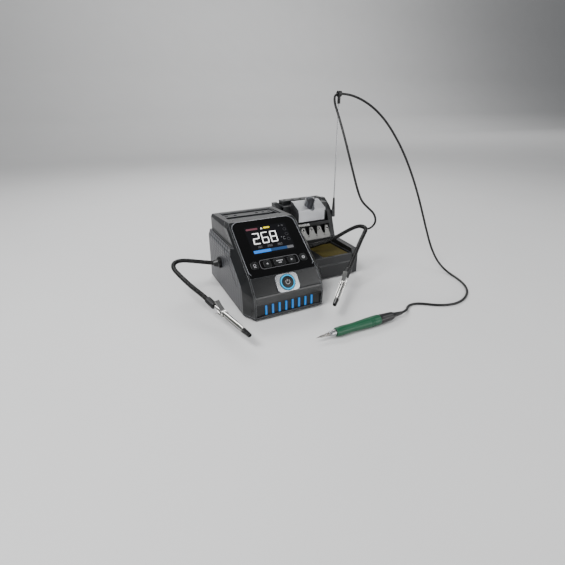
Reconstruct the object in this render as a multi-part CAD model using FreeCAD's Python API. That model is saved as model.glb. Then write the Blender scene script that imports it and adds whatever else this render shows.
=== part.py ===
import FreeCAD, Part
import math
import os

V = FreeCAD.Vector
X, Y, Z = V(1, 0, 0), V(0, 1, 0), V(0, 0, 1)

# A soldering iron station: a control unit, a stand docked to its right side, two gooseneck
# arms with crocodile clips, and the iron on its lead. Millimetres, +Z up, front towards -Y.
# The pieces are designed with the middle of the control unit's front foot line at the
# origin. They are written out with the origin under the middle of the whole object.

# ---- Driving dimensions: control unit ---------------------------------------------------
FACE_HALF = 50.0          # half width of the front face
SIDE_HALF = 59.0          # half width over the side panels
UPPER_HALF = 53.0         # half width of the body above the side panels
FOOT_H = 3.0              # feet, so the underside stands this high
FRONT_H = 24.0            # top of the upright part of the front
ROLL_H = 10.5             # height of the rounded roll above it
GLASS_Y, GLASS_Z = 17.5, 54.5      # lower edge of the display glass
GLASS_LEN = 90.7          # length of the glass up its slope
GLASS_TILT = 36.9         # slope of the glass above horizontal, degrees
UNIT_DEPTH = 171.0        # front face to rear panel, at the foot
REAR_LEAN = 5.0           # the rear leans forward by this much at the top
REAR_TOP = 105.5          # height of the rear top edge
CHEEK_SET = 21.3          # how far the side edge of the cheeks lies behind the front face
PANEL_TOP = 72.5          # side panels: top of the upright part
PANEL_SHOULDER = 82.0     # side panels: top of their bevel
PANEL_T = 3.0             # side panels: thickness
WALL = 2.5                # mould wall of the body
BASE_T = 2.5              # base plate
FIT = 0.2                 # clearance of a part that drops into an opening
RUN = 0.05                # radial clearance of a pin or plunger that moves

GLASS_HALF = 47.5
GLASS_T = 2.2
GLASS_R = 12.0            # radius of the upper corners of the glass
GLASS_R_LOW = 2.0
LCD_HALF, LCD_V0, LCD_V1, LCD_T = 34.0, 28.5, 82.0, 5.0
KEY_V, KEY_H, KEY_W = 17.5, 10.5, 10.5
KEY_OUTER_U = 35.7        # the two single keys
KEY_INNER_U = 17.8        # the outer keys of the group of three
KEY_MID_W = 17.0
KEY_R = 2.6
KEY_PROUD = 0.7
KEY_T = 3.6
KEY_TRAVEL = 0.6

NOSE_ROUND = 8.5          # radius of the roll under the power button
SLOTS, SLOT_PITCH = 8, 9.6
SLOT_W, SLOT_Z0, SLOT_Z1 = 2.3, 7.6, 20.6
SLOT_SET = 3.0            # the slot panel is set back from the front face
SLOT_TOP = 24.0           # top of the slot panel, behind the lip of the nose
LEDGE_HALF = 40.0

PLATE_W, PLATE_H, PLATE_R, PLATE_T, PLATE_SEAT = 32.0, 24.0, 6.0, 2.0, 0.4
RING_R, BUTTON_R = 11.0, 8.3
BUTTON_TRAVEL = 1.5

TRAY_HALF, TRAY_Y0, TRAY_Y1, TRAY_DEEP = 42.0, 113.0, 157.0, 4.0
TRAY_HOLES = (-35.0, -21.0, 14.0, 24.5, 35.0)
TRAY_HOLE_Y, TRAY_HOLE_R, TRAY_HOLE_DEEP = 144.0, 2.9, 14.0

ARM_Y, ARM_Z = 112.0, 46.0         # sockets of the two gooseneck arms
ARM_R = 3.3
FLANGE_R, FLANGE_T, SPIGOT_R = 8.5, 4.0, 5.0
COLLAR_R, COLLAR_L = 4.7, 14.0

LEAD_R = 1.75
LEAD_Y, LEAD_Z = 128.0, 43.5       # the iron's socket in the right side

# ---- Driving dimensions: stand ----------------------------------------------------------
STAND_X0 = SIDE_HALF      # the stand's left side is the unit's side panel
STAND_W = 101.0
STAND_X1 = STAND_X0 + STAND_W
STAND_Y0, STAND_Y1 = 72.0, 188.0
CHEEK_T = 9.0             # thickness of the stand's side cheeks
DECK_Z = 37.0             # height of the sponge deck
STEP_Y, STEP_Z = 140.0, 45.0       # the rear block of the stand
COLUMN_Y, COLUMN_Z = 158.0, 104.0
STAND_WALL = 2.5
WELL_X0, WELL_Y0, WELL_Y1, WELL_FLOOR = STAND_X0 + 39.0, 77.5, 137.0, 24.0
SPONGE_TOP, SPONGE_GAP = 36.4, 0.6
SHELF_Y, SHELF_Z0, SHELF_Z1 = 146.0, 69.0, 74.0
RACK_X0, RACK_X1 = STAND_X0 + CHEEK_T + 3.0, STAND_X1 - CHEEK_T - 5.0
RACK_Y0, RACK_Y1, RACK_Z1 = 170.0, 184.0, 110.5
RACK_HOLES, RACK_HOLE_R = 5, 3.0
CRADLE_X0, CRADLE_X1, CRADLE_Y0 = STAND_X0 + 22.0, STAND_X0 + 72.0, 130.0
CRADLE_Z0, CRADLE_Z1, CRADLE_SLOPE = 82.0, 98.0, 25.0
TUBE_X, TUBE_Y, TUBE_Z, TUBE_TILT = STAND_X0 + 47.0, 142.0, 105.0, 62.0
TUBE_R, TUBE_BORE = 9.0, 7.6
TUBE_BELOW, TUBE_ABOVE = 15.0, 12.0
FINGER_PITCH, FINGER_X = 15.6, STAND_X0 + 26.0
FINGER_LEAN = 62.0        # the finger plate leans back from the vertical plane of its foot
FINGER_T, FINGER_BAND, FINGER_LEN = 1.6, 8.5, 15.0
ROD_X_OUT, ROD_Y, ROD_R, ROD_Z0, ROD_Z1 = 3.6, 155.0, 0.9, 84.0, 264.0
CONE_Z0, CONE_Z1, CONE_R0, CONE_R1 = 77.0, 110.0, 3.4, 1.7

# ---- Driving dimensions: iron -----------------------------------------------------------
IRON_Y = -72.0
IRON_AXIS_Z = 6.9         # the grip lies on the bench
TIP_X, NOZZLE_X, GRIP_X0, GRIP_X1, IRON_X1, RELIEF_X1 = -3.0, 15.0, 24.0, 89.0, 112.0, 126.0
TIP_R, CORE_R = 1.5, 4.6

# ---- Derived places ---------------------------------------------------------------------
TILT = math.radians(GLASS_TILT)
GLASS_END_Y = GLASS_Y + GLASS_LEN * math.cos(TILT)
GLASS_END_Z = GLASS_Z + GLASS_LEN * math.sin(TILT)
UNDER = FOOT_H
BASE_TOP = UNDER + BASE_T
INNER_X1 = STAND_X1 - CHEEK_T
BIG = 400.0


# ---- Helpers ----------------------------------------------------------------------------
def box(x0, x1, y0, y1, z0, z1):
    """A box between two corners."""
    return Part.makeBox(x1 - x0, y1 - y0, z1 - z0, V(x0, y0, z0))


def cyl(start, axis, radius, length):
    """A round bar from a point along an axis."""
    return Part.makeCylinder(radius, length, start, axis)


def prism_x(points, x0, x1):
    """A side profile of (y, z) points, drawn out along X."""
    wire = Part.makePolygon([V(x0, y, z) for y, z in points] + [V(x0, *points[0])])
    return Part.Face(wire).extrude(V(x1 - x0, 0, 0))


def prism_y(points, y0, y1):
    """A front profile of (x, z) points, drawn out along Y."""
    wire = Part.makePolygon([V(x, y0, z) for x, z in points] + [V(points[0][0], y0, points[0][1])])
    return Part.Face(wire).extrude(V(0, y1 - y0, 0))


def rounded(width, height, radius, low_radius=None):
    """A rounded rectangle face about the origin in the XY plane; low_radius rounds its lower corners."""
    low = radius if low_radius is None else low_radius
    hw, hh = width / 2, height / 2
    corners = [(hw, -hh, low, -90), (hw, hh, radius, 0), (-hw, hh, radius, 90), (-hw, -hh, low, 180)]
    edges, last, first = [], None, None
    for cx, cy, r, start in corners:
        mid = V(cx - math.copysign(r, cx), cy - math.copysign(r, cy), 0)
        a, b, c = [mid + V(r * math.cos(math.radians(t)), r * math.sin(math.radians(t)), 0)
                   for t in (start, start + 45, start + 90)]
        if last is not None:
            edges.append(Part.LineSegment(last, a).toShape())
        else:
            first = a
        edges.append(Part.Arc(a, b, c).toShape())
        last = c
    edges.append(Part.LineSegment(last, first).toShape())
    return Part.Face(Part.Wire(edges))


def pad(face, low, high):
    """A face in the XY plane made a plate between two heights."""
    plate = face.extrude(V(0, 0, high - low))
    plate.translate(V(0, 0, low))
    return plate


def inset(points, d):
    """The corners of a counterclockwise outline with every edge moved in by d."""
    moved = []
    count = len(points)
    for i in range(count):
        (ax, ay), (bx, by) = points[i], points[(i + 1) % count]
        length = math.hypot(bx - ax, by - ay)
        nx, ny = -(by - ay) / length, (bx - ax) / length
        moved.append(((ax + nx * d, ay + ny * d), (bx - ax, by - ay)))
    out = []
    for i in range(count):
        (px, py), (dx, dy) = moved[i - 1]
        (qx, qy), (ex, ey) = moved[i]
        t = ((qx - px) * ey - (qy - py) * ex) / (dx * ey - dy * ex)
        out.append((px + dx * t, py + dy * t))
    return out


def placed(shape, origin, x_dir, z_dir):
    """A shape drawn in its own axes, put at a place: its X lies along x_dir, its Z near z_dir."""
    ex = V(x_dir).normalize()
    ey = V(z_dir).cross(ex).normalize()
    ez = ex.cross(ey)
    m = FreeCAD.Matrix(ex.x, ey.x, ez.x, origin.x, ex.y, ey.y, ez.y, origin.y,
                       ex.z, ey.z, ez.z, origin.z, 0, 0, 0, 1)
    copy = shape.copy()
    copy.Placement = FreeCAD.Placement(m).multiply(copy.Placement)
    return copy


def fuse(shapes):
    whole = shapes[0]
    for other in shapes[1:]:
        whole = whole.fuse(other)
    return whole.removeSplitter()


def turned(points, origin, axis_dir=X):
    """A solid of revolution from (distance along the axis, radius) points."""
    outline = [V(s, 0, r) for s, r in points]
    outline = [V(points[0][0], 0, 0)] + outline + [V(points[-1][0], 0, 0)]
    face = Part.Face(Part.makePolygon(outline + [outline[0]]))
    solid = face.revolve(V(0, 0, 0), X, 360)
    return placed(solid, origin, axis_dir, Z if abs(axis_dir.z) < 0.9 * axis_dir.Length else Y)


def route_edges(points):
    """Straight runs joined by tangent arcs, and the arc radii. Each arc's radius is 0.45 of
    its shorter run, divided by the tangent of half the turn."""
    edges, radii, start = [], [], points[0]
    for before, here, after in zip(points, points[1:], points[2:]):
        into, out = here - before, after - here
        turn = into.getAngle(out)
        reach = 0.45 * min(into.Length, out.Length)
        radii.append(reach / math.tan(turn / 2))
        a = here - V(into).normalize() * reach
        b = here + V(out).normalize() * reach
        bisector = (V(out).normalize() - V(into).normalize()).normalize()
        centre_gap = radii[-1] / math.cos(turn / 2)
        middle = here + bisector * (centre_gap - radii[-1])
        edges.append(Part.LineSegment(start, a).toShape())
        edges.append(Part.Arc(a, middle, b).toShape())
        start = b
    edges.append(Part.LineSegment(start, points[-1]).toShape())
    return edges, radii


def tube(name, points, radius):
    """A round tube along a route of points; prints how tight it is and how true its volume is."""
    edges, radii = route_edges(points)
    spine = Part.Wire(edges)
    ring = Part.Wire(Part.Circle(points[0], points[1] - points[0], radius).toShape())
    solid = spine.makePipeShell([ring], True, False)
    ideal = math.pi * radius ** 2 * spine.Length
    print(f"{name}: length {spine.Length:.0f}, tightest radius {min(radii):.1f}, "
          f"volume {solid.Volume / ideal:.4f} of section times length")
    return solid


# ---- Control unit: the outer form -------------------------------------------------------
# Two side outlines share one corner list. FACE is the outline at the edge of the front
# face, SIDE the one at the side panels. The ruled surface between them is the cheek.
FACE = [(1.5, UNDER), (UNIT_DEPTH, UNDER), (UNIT_DEPTH - REAR_LEAN, REAR_TOP),
        (GLASS_END_Y, GLASS_END_Z), (GLASS_Y, GLASS_Z), (2.2, FRONT_H + ROLL_H), (0.0, FRONT_H)]
SIDE = [(CHEEK_SET, UNDER), (UNIT_DEPTH + 2, UNDER), (UNIT_DEPTH - REAR_LEAN, REAR_TOP - 4.5),
        (98.0, REAR_TOP - 3.5), (CHEEK_SET + 2.7, 44.0), (CHEEK_SET + 0.3, 38.5), (CHEEK_SET, 33.0)]
SECTION = [(-SIDE_HALF, -10), (SIDE_HALF, -10), (SIDE_HALF, PANEL_TOP),
           (SIDE_HALF - PANEL_T, PANEL_SHOULDER), (UPPER_HALF, PANEL_SHOULDER),
           (UPPER_HALF, REAR_TOP - 3.5), (UPPER_HALF - 7, REAR_TOP + 6.5)]
SECTION += [(-x, z) for x, z in reversed(SECTION[2:])]
SHELL_X = SIDE_HALF - PANEL_T
# The line between the front frame and the housing behind it
SPLIT = [(-20, -10), (CHEEK_SET + 2.7, -10), (CHEEK_SET + 2.7, 40), (CHEEK_SET + 5.2, 45.5),
         (106, REAR_TOP + 1.5), (106, 130), (-20, 130)]


def outline_wire(points, x):
    return Part.makePolygon([V(x, y, z) for y, z in points] + [V(x, *points[0])])


def unit_form():
    """The whole outside of the control unit as one solid."""
    body = prism_x(FACE, -FACE_HALF, FACE_HALF)
    for side in (-1, 1):
        wires = [outline_wire(FACE, side * FACE_HALF), outline_wire(SIDE, side * SIDE_HALF)]
        body = body.fuse(Part.makeLoft(wires, True, True))
    return body.common(prism_y(SECTION, -50, 250)).removeSplitter()


def unit_cavity():
    """The room inside the walls, down to the top of the base plate."""
    face, side = [[(y, BASE_TOP - WALL if z == UNDER else z) for y, z in points] for points in (FACE, SIDE)]
    middle = prism_x(inset(face, WALL), -(FACE_HALF - 2), FACE_HALF - 2)
    wide = prism_x(inset(side, WALL), -(SHELL_X - WALL), SHELL_X - WALL)
    section = prism_y(inset(SECTION, WALL), -50, 250)
    return middle.fuse(wide).common(section)


def on_glass(u, v, w):
    """A point u across, v up and w above the display glass."""
    return V(u, GLASS_Y + v * math.cos(TILT) - w * math.sin(TILT),
             GLASS_Z + v * math.sin(TILT) + w * math.cos(TILT))


def glass_placed(shape, u, v, w=0.0):
    """A shape drawn flat, laid on the glass plane with its Z standing out of it."""
    return placed(shape, on_glass(u, v, w), X, V(0, -math.sin(TILT), math.cos(TILT)))


NOSE_DIR = V(0, GLASS_Y - 2.2, GLASS_Z - FRONT_H - ROLL_H).normalize()
NOSE_OUT = V(0, -NOSE_DIR.z, NOSE_DIR.y)
NOSE_MID = V(0, 2.2, FRONT_H + ROLL_H) + NOSE_DIR * 11.6


def nose_placed(shape, w=0.0):
    """A shape drawn flat, laid on the slope of the nose about its middle."""
    return placed(shape, NOSE_MID + NOSE_OUT * w, X, NOSE_OUT)


form = unit_form()
cavity = unit_cavity()
above_base = box(-BIG, BIG, -BIG, BIG, BASE_TOP, BIG)
front_zone = prism_x(SPLIT, -BIG, BIG)
glass_hole = pad(rounded(2 * (GLASS_HALF + FIT), GLASS_LEN + FIT, GLASS_R + FIT, GLASS_R_LOW), -8, 3)
glass_hole = glass_placed(glass_hole, 0, GLASS_LEN / 2)
nose_hole = prism_x([(-9, BASE_TOP - 1), (9.5, BASE_TOP - 1), (9.5, 30), (GLASS_Y + 3.2, GLASS_Z - 4),
                     (GLASS_Y - 6.2, GLASS_Z + 8)], -(GLASS_HALF + FIT), GLASS_HALF + FIT)
shelled = form.cut(cavity).common(above_base)
rear_hole = prism_y([(-46, 12), (46, 12), (46, 97), (-46, 97)], UNIT_DEPTH - 14, UNIT_DEPTH + 9)
rear_slab = form.cut(prism_x(inset(FACE, WALL), -BIG, BIG))
tray_hole = box(-TRAY_HALF - FIT, TRAY_HALF + FIT, TRAY_Y0 - FIT, TRAY_Y1 + FIT, 90, 130)
socket_bores = [cyl(V(side * 30, ARM_Y, ARM_Z), X * side, SPIGOT_R + RUN, 60) for side in (-1, 1)]
lead_bore = cyl(V(30, LEAD_Y, LEAD_Z), X, 4.6, 60)

nodes = {}


def make_body():
    """Base plate, front frame, housing, side panels and rear panel."""
    foot_print = form.common(box(-BIG, BIG, -BIG, BIG, -5, BASE_TOP))
    ledge = box(-LEDGE_HALF, LEDGE_HALF, 0.6, SLOT_SET, BASE_TOP - 0.5, BASE_TOP + 1)
    posts = [cyl(V(x, y, BASE_TOP - 0.5), Z, 3, 6.0) for x in (-38, 38) for y in (38, UNIT_DEPTH - 25)]
    nodes["base_plate"] = fuse([foot_print, ledge] + posts)
    frame = shelled.common(front_zone).cut(glass_hole).cut(nose_hole)
    nodes["face_frame"] = frame
    rear_zone = box(-SHELL_X, SHELL_X, -BIG, BIG, -BIG, BIG).cut(front_zone)
    housing = shelled.common(rear_zone).cut(rear_hole).cut(tray_hole)
    for bore in socket_bores + [lead_bore]:
        housing = housing.cut(bore)
    nodes["housing"] = housing
    for side, name in ((-1, "side_panel_left"), (1, "side_panel_right")):
        x0, x1 = sorted((side * SHELL_X, side * (SIDE_HALF + 1)))
        slab = box(x0, x1, -BIG, BIG, BASE_TOP, PANEL_SHOULDER)
        panel = form.common(slab).cut(front_zone).cut(socket_bores[(side + 1) // 2])
        if side > 0:
            panel = panel.cut(lead_bore)
        groove = prism_x([(40, 36.5), (41.2, 35.8), (91.2, 74.8), (90, 75.5)], x0, x1)
        nodes[name] = panel.cut(groove.cut(box(-SIDE_HALF + 0.7, SIDE_HALF - 0.7, -BIG, BIG, -BIG, BIG)))
    rear = rear_slab.common(rear_hole)
    rear = rear.cut(box(-43, -13, UNIT_DEPTH - 21, UNIT_DEPTH + 19, 20, 60))
    for i in range(6):
        rear = rear.cut(box(4 + i * 7, 7.5 + i * 7, UNIT_DEPTH - 21, UNIT_DEPTH + 19, 24, 80))
    nodes["rear_panel"] = rear


def make_face():
    """Glass, display, keys, nose, power button and light slots."""
    glass = pad(rounded(2 * GLASS_HALF, GLASS_LEN - FIT, GLASS_R, GLASS_R_LOW), -GLASS_T, 0)
    glass = glass_placed(glass, 0, GLASS_LEN / 2)
    key_places = {"key_standby": (-KEY_OUTER_U, KEY_W), "key_down": (-KEY_INNER_U, KEY_W),
                  "key_set": (0.0, KEY_MID_W), "key_up": (KEY_INNER_U, KEY_W),
                  "key_menu": (KEY_OUTER_U, KEY_W)}
    for name, (u, width) in key_places.items():
        hole = pad(rounded(width + 2 * FIT, KEY_H + 2 * FIT, KEY_R + FIT), -9, 3)
        glass = glass.cut(glass_placed(hole, u, KEY_V))
        cap = pad(rounded(width, KEY_H, KEY_R), KEY_PROUD - KEY_T, KEY_PROUD)
        nodes[name] = glass_placed(cap, u, KEY_V)
    nodes["glass_panel"] = glass
    lcd = box(-LCD_HALF, LCD_HALF, LCD_V0, LCD_V1, -GLASS_T - LCD_T, -GLASS_T)
    nodes["lcd_module"] = glass_placed(lcd, 0, 0)
    board_top = KEY_PROUD - KEY_T - KEY_TRAVEL - 0.3
    board = box(-43.5, 43.5, KEY_V - 8, KEY_V + 8, board_top - 1.6, board_top)
    nodes["key_board"] = glass_placed(board, 0, 0)
    edge_out, edge_in = on_glass(0, -FIT, 0), on_glass(0, -FIT, -2.4)
    outer = [(edge_out.y, edge_out.z), (2.2, FRONT_H + ROLL_H), (0, FRONT_H), (0, SLOT_TOP - 1.5),
             (SLOT_SET + 2, SLOT_TOP - 1.5), (SLOT_SET + 2, SLOT_TOP), (WALL, SLOT_TOP),
             (WALL, FRONT_H + ROLL_H - 0.6), (edge_in.y, edge_in.z)]
    nose = prism_x(outer, -GLASS_HALF, GLASS_HALF)
    nose = rolled(nose)
    through = nose_placed(cyl(V(0, 0, -12), Z, RING_R + 0.05, 20))
    plate = nose_placed(pad(rounded(PLATE_W, PLATE_H, PLATE_R), -PLATE_SEAT, PLATE_T - PLATE_SEAT))
    nodes["nose_panel"] = nose.cut(through).cut(plate)
    nodes["power_plate"] = plate.cut(through)
    ring = cyl(V(0, 0, -4), Z, RING_R, 6.4).cut(cyl(V(0, 0, -5), Z, BUTTON_R + RUN, 12))
    nodes["glow_ring"] = nose_placed(ring)
    nodes["power_button"] = nose_placed(cyl(V(0, 0, -5), Z, BUTTON_R, 8.0))
    slots = box(-GLASS_HALF, GLASS_HALF, SLOT_SET, SLOT_SET + 2, BASE_TOP, SLOT_TOP - 1.5)
    bars = [box(-GLASS_HALF + 4, GLASS_HALF - 4, SLOT_SET + 3, SLOT_SET + 4.4, SLOT_Z0, SLOT_Z1)]
    for i in range(SLOTS):
        x = (i - (SLOTS - 1) / 2) * SLOT_PITCH
        gap = box(x - SLOT_W / 2 - 0.1, x + SLOT_W / 2 + 0.1, 0, 9, SLOT_Z0 - 0.1, SLOT_Z1 + 0.1)
        slots = slots.cut(gap)
        bars.append(box(x - SLOT_W / 2, x + SLOT_W / 2, SLOT_SET - 1.2, SLOT_SET + 3, SLOT_Z0, SLOT_Z1))
    nodes["slot_panel"] = slots
    nodes["light_guide"] = fuse(bars)


def rolled(nose):
    """Rounds the long outer edges of the nose where it rolls over."""
    picked = []
    for edge in nose.Edges:
        box_ = edge.BoundBox
        long_x = box_.XLength > GLASS_HALF
        outside = (abs(box_.YMin - 2.2) < 0.1 and abs(box_.ZMin - FRONT_H - ROLL_H) < 0.1)
        if long_x and outside:
            picked.append(edge)
    return nose.makeFillet(NOSE_ROUND, picked)


def make_top_and_inside():
    """The tip tray in the top, the boards and supply inside, inlet, switch, feet and screws."""
    top_at = REAR_TOP - 0.2
    tray = box(-TRAY_HALF, TRAY_HALF, TRAY_Y0, TRAY_Y1, top_at - TRAY_DEEP - 2, top_at)
    tray = tray.cut(box(-TRAY_HALF + 1.6, TRAY_HALF - 1.6, TRAY_Y0 + 1.6, TRAY_Y1 - 1.6,
                        top_at - TRAY_DEEP, BIG))
    raised = box(-TRAY_HALF + 2.4, TRAY_HALF - 2.4, TRAY_HOLE_Y - 7, TRAY_HOLE_Y + 8,
                 top_at - TRAY_HOLE_DEEP - 2, top_at - 1.2)
    tray = fuse([tray, raised])
    for x in TRAY_HOLES:
        tray = tray.cut(cyl(V(x, TRAY_HOLE_Y, top_at - TRAY_HOLE_DEEP), Z, TRAY_HOLE_R, 30))
    nodes["tip_tray"] = tray
    nodes["main_board"] = box(-44, 44, 30, UNIT_DEPTH - 19, BASE_TOP + 5.5, BASE_TOP + 7.1)
    can = box(-6, 40, 62, 104, BASE_TOP + 7.1, BASE_TOP + 40)
    can = can.makeChamfer(2, [e for e in can.Edges if e.BoundBox.ZLength > 20])
    fins = [box(-2 + i * 6, 0 + i * 6, 62, 104, BASE_TOP + 40, BASE_TOP + 48) for i in range(7)]
    nodes["power_supply"] = fuse([can] + fins)
    body = box(-42.8, -13.2, UNIT_DEPTH - 27, UNIT_DEPTH + 0.5, 20.2, 59.8)
    body = body.cut(box(-39.5, -16.5, UNIT_DEPTH - 15, UNIT_DEPTH + 19, 24, 40))
    body = body.cut(box(-38, -18, UNIT_DEPTH - 9, UNIT_DEPTH + 19, 44.8, 57.2))
    pins = [box(x - 1, x + 1, UNIT_DEPTH - 16, UNIT_DEPTH - 4, z - 2, z + 2)
            for x, z in ((-33, 30), (-23, 30), (-28, 35))]
    nodes["mains_inlet"] = fuse([body] + pins)
    nodes["rocker_switch"] = rocker()
    foot_places = [(x, y) for x in (-44, 44) for y in (34, UNIT_DEPTH - 17)]
    foot_places += [(x, y) for x in (STAND_X0 + 11, INNER_X1 - 11) for y in (STAND_Y0 + 12, STAND_Y1 - 12)]
    feet = [Part.makeCone(6.0, 6.8, FOOT_H, V(x, y, 0)) for x, y in foot_places]
    nodes["feet"] = Part.makeCompound(feet)
    screws = []
    for x in (-43, 43):
        for z in (15.0, 94.0):
            y = UNIT_DEPTH - REAR_LEAN * (z - UNDER) / (REAR_TOP - UNDER) - 0.4
            head = cyl(V(x, y, z), Y, 2.6, 1.9)
            screws.append(head.cut(box(x - 3, x + 3, y + 1.3, y + 4, z - 0.4, z + 0.4)))
    nodes["rear_screws"] = Part.makeCompound(screws)
    nodes["rear_panel"] = nodes["rear_panel"].cut(nodes["rear_screws"])


ROCKER_MID = V(-28.0, UNIT_DEPTH - 3.0, 51.0)
ROCKER_TILT = 9.0


def rocker():
    """The mains rocker, resting tilted to one side of its pivot."""
    profile = [(-9.6, 2.2), (0, 3.4), (9.6, 2.2), (8.4, -4.2), (-8.4, -4.2)]
    bar = Part.Face(Part.makePolygon([V(x, y, -5.9) for x, y in profile + [profile[0]]])).extrude(Z * 11.8)
    bar.rotate(V(0, 0, 0), Z, ROCKER_TILT)
    bar.translate(ROCKER_MID)
    return bar


# ---- Gooseneck arms ---------------------------------------------------------------------
def from_side(side, points):
    """Points of an arm, given from its side panel outwards."""
    return [V(side * (SIDE_HALF + out), y, z) for out, y, z in points]


LEFT_ARM = from_side(-1, [(8, 112, 46), (17, 117.5, 46.6), (33, 128, 47.6), (51, 135.5, 50),
                          (63, 133, 49.6), (67.5, 120, 46.5), (62.5, 99, 42.3), (54, 70, 36.5),
                          (43.5, 48, 30), (36.5, 30, 24)])
RIGHT_ARM = from_side(1, [(8, 112, 46), (19, 111, 45.7), (36, 107, 47.3), (55, 101, 53),
                          (71, 95, 59.8), (84, 90, 67.8), (96.5, 85, 75), (105.3, 80.7, 78.6),
                          (109.6, 73, 79), (108, 65, 76.8), (98.5, 58.5, 70.8), (89, 52.5, 64),
                          (77, 44.5, 53.5), (63, 35.5, 40.5), (45.5, 23.5, 27.5)])
LEFT_TIP = from_side(-1, [(17.5, -52, 19.5)])[0]
RIGHT_TIP = from_side(1, [(-15, -37, 20)])[0]
CLIP_LEN = 84.0
PIVOT_S = 29.0


def clip_frame(end, tip):
    """Place and forward direction of a clip: it points from the arm's end to its jaw tips."""
    return V(end), (tip - end).normalize()


def clip_shapes():
    """The two jaws and the pin with its spring, drawn along X from the arm's end face."""
    s1, piv = CLIP_LEN, PIVOT_S
    neck = cyl(V(-COLLAR_L + 4, 0, 0), X, 2.0, COLLAR_L + 18)
    block = box(16.5, 24, -2.3, 2.3, -3.6, 1.6)
    floor = box(17, s1 - 12, -3.4, 3.4, -4.2, -3.2)
    ears = [box(piv - 4, piv + 9, y, y + 0.8, -4.2, 2.6) for y in (-4.2, 3.4)]
    rails = [box(piv + 7.5, s1 - 12, y, y + 0.8, -4.2, -0.4) for y in (-3.4, 2.6)]
    links = [box(piv - 4, piv + 9, y, y + 1.2, -4.2, -3.2) for y in (-4.2, 3.0)]
    tip = box(s1 - 13, s1, -2.7, 2.7, -4.0, -0.15)
    lever = prism_y([(17.2, -4.2), (24, -4.2), (24, -3.2), (17.2, -3.2), (10, -6.6), (10, -7.6)], -3.2, 3.2)
    lower = fuse([neck, block, floor, tip, lever] + ears + rails + links)
    for i in range(5):
        x = s1 - 11.5 + i * 2.4
        lower = lower.cut(prism_y([(x - 1, 0.1), (x + 1, 0.1), (x, -1.3)], -4, 4))
    lower = lower.cut(cyl(V(piv, -9, 0), Y, 1.2, 18))
    roof = box(piv - 4, s1 - 12, -3.2, 3.2, 3.0, 4.0)
    inner = [box(piv - 4, piv + 6, y, y + 0.8, -2.0, 4.0) for y in (-3.2, 2.4)]
    flanges = [box(piv + 6, s1 - 12, y, y + 0.8, 0.4, 4.0) for y in (-3.2, 2.4)]
    top_tip = box(s1 - 13, s1, -2.7, 2.7, 0.15, 3.8)
    thumb = prism_y([(piv - 4, 3.0), (piv - 3, 3.0), (piv - 3, 4.0), (piv - 4.4, 4.0), (11.5, 12.0), (11, 11.1)],
                    -3.0, 3.0)
    upper = fuse([roof, top_tip, thumb] + inner + flanges)
    for i in range(5):
        x = s1 - 12.7 + i * 2.4
        upper = upper.cut(prism_y([(x - 1, -0.1), (x + 1, -0.1), (x, 1.3)], -4, 4))
    upper = upper.cut(cyl(V(piv, -9, 0), Y, 1.2 + RUN, 18))
    pin = cyl(V(piv, -5.0, 0), Y, 1.2, 10)
    heads = [cyl(V(piv, y, 0), Y, 2.1, 0.8) for y in (-5.0, 4.2)]
    spring = cyl(V(piv, -1.9, 0), Y, 2.2, 3.8).cut(cyl(V(piv, -3, 0), Y, 1.35, 6))
    return lower, upper, Part.makeCompound([fuse([pin] + heads), spring])


def make_arm(side, route, tip):
    """One gooseneck arm: socket ferrule, tube, end collar and clip."""
    sign = -1 if side == "left" else 1
    root = V(sign * SIDE_HALF, ARM_Y, ARM_Z)
    ferrule = turned([(-8.0, SPIGOT_R), (0.3, SPIGOT_R), (0.3, FLANGE_R), (FLANGE_T, FLANGE_R),
                      (FLANGE_T + 1, FLANGE_R - 2), (11, ARM_R + 0.9)], root, X * sign)
    tube_solid = tube(f"arm_{side}_gooseneck", route, ARM_R)
    ferrule = ferrule.cut(tube_solid)
    end, forward = clip_frame(route[-1], tip)
    along = (route[-1] - route[-2]).normalize()
    collar = cyl(end - along * (COLLAR_L - 3), along, COLLAR_R, COLLAR_L)
    collar = collar.cut(tube_solid)
    lower, upper, pivot = [placed(s, end, forward, Z) for s in clip_shapes()]
    neck_hole = placed(cyl(V(-COLLAR_L, 0, 0), X, 2.0 + RUN, COLLAR_L + 12), end, forward, Z)
    nodes[f"arm_{side}_ferrule"] = ferrule
    nodes[f"arm_{side}_gooseneck"] = tube_solid.cut(neck_hole)
    nodes[f"arm_{side}_collar"] = collar.cut(neck_hole)
    nodes[f"clip_{side}_lower_jaw"] = lower
    nodes[f"clip_{side}_upper_jaw"] = upper
    nodes[f"clip_{side}_pivot"] = pivot


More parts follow.
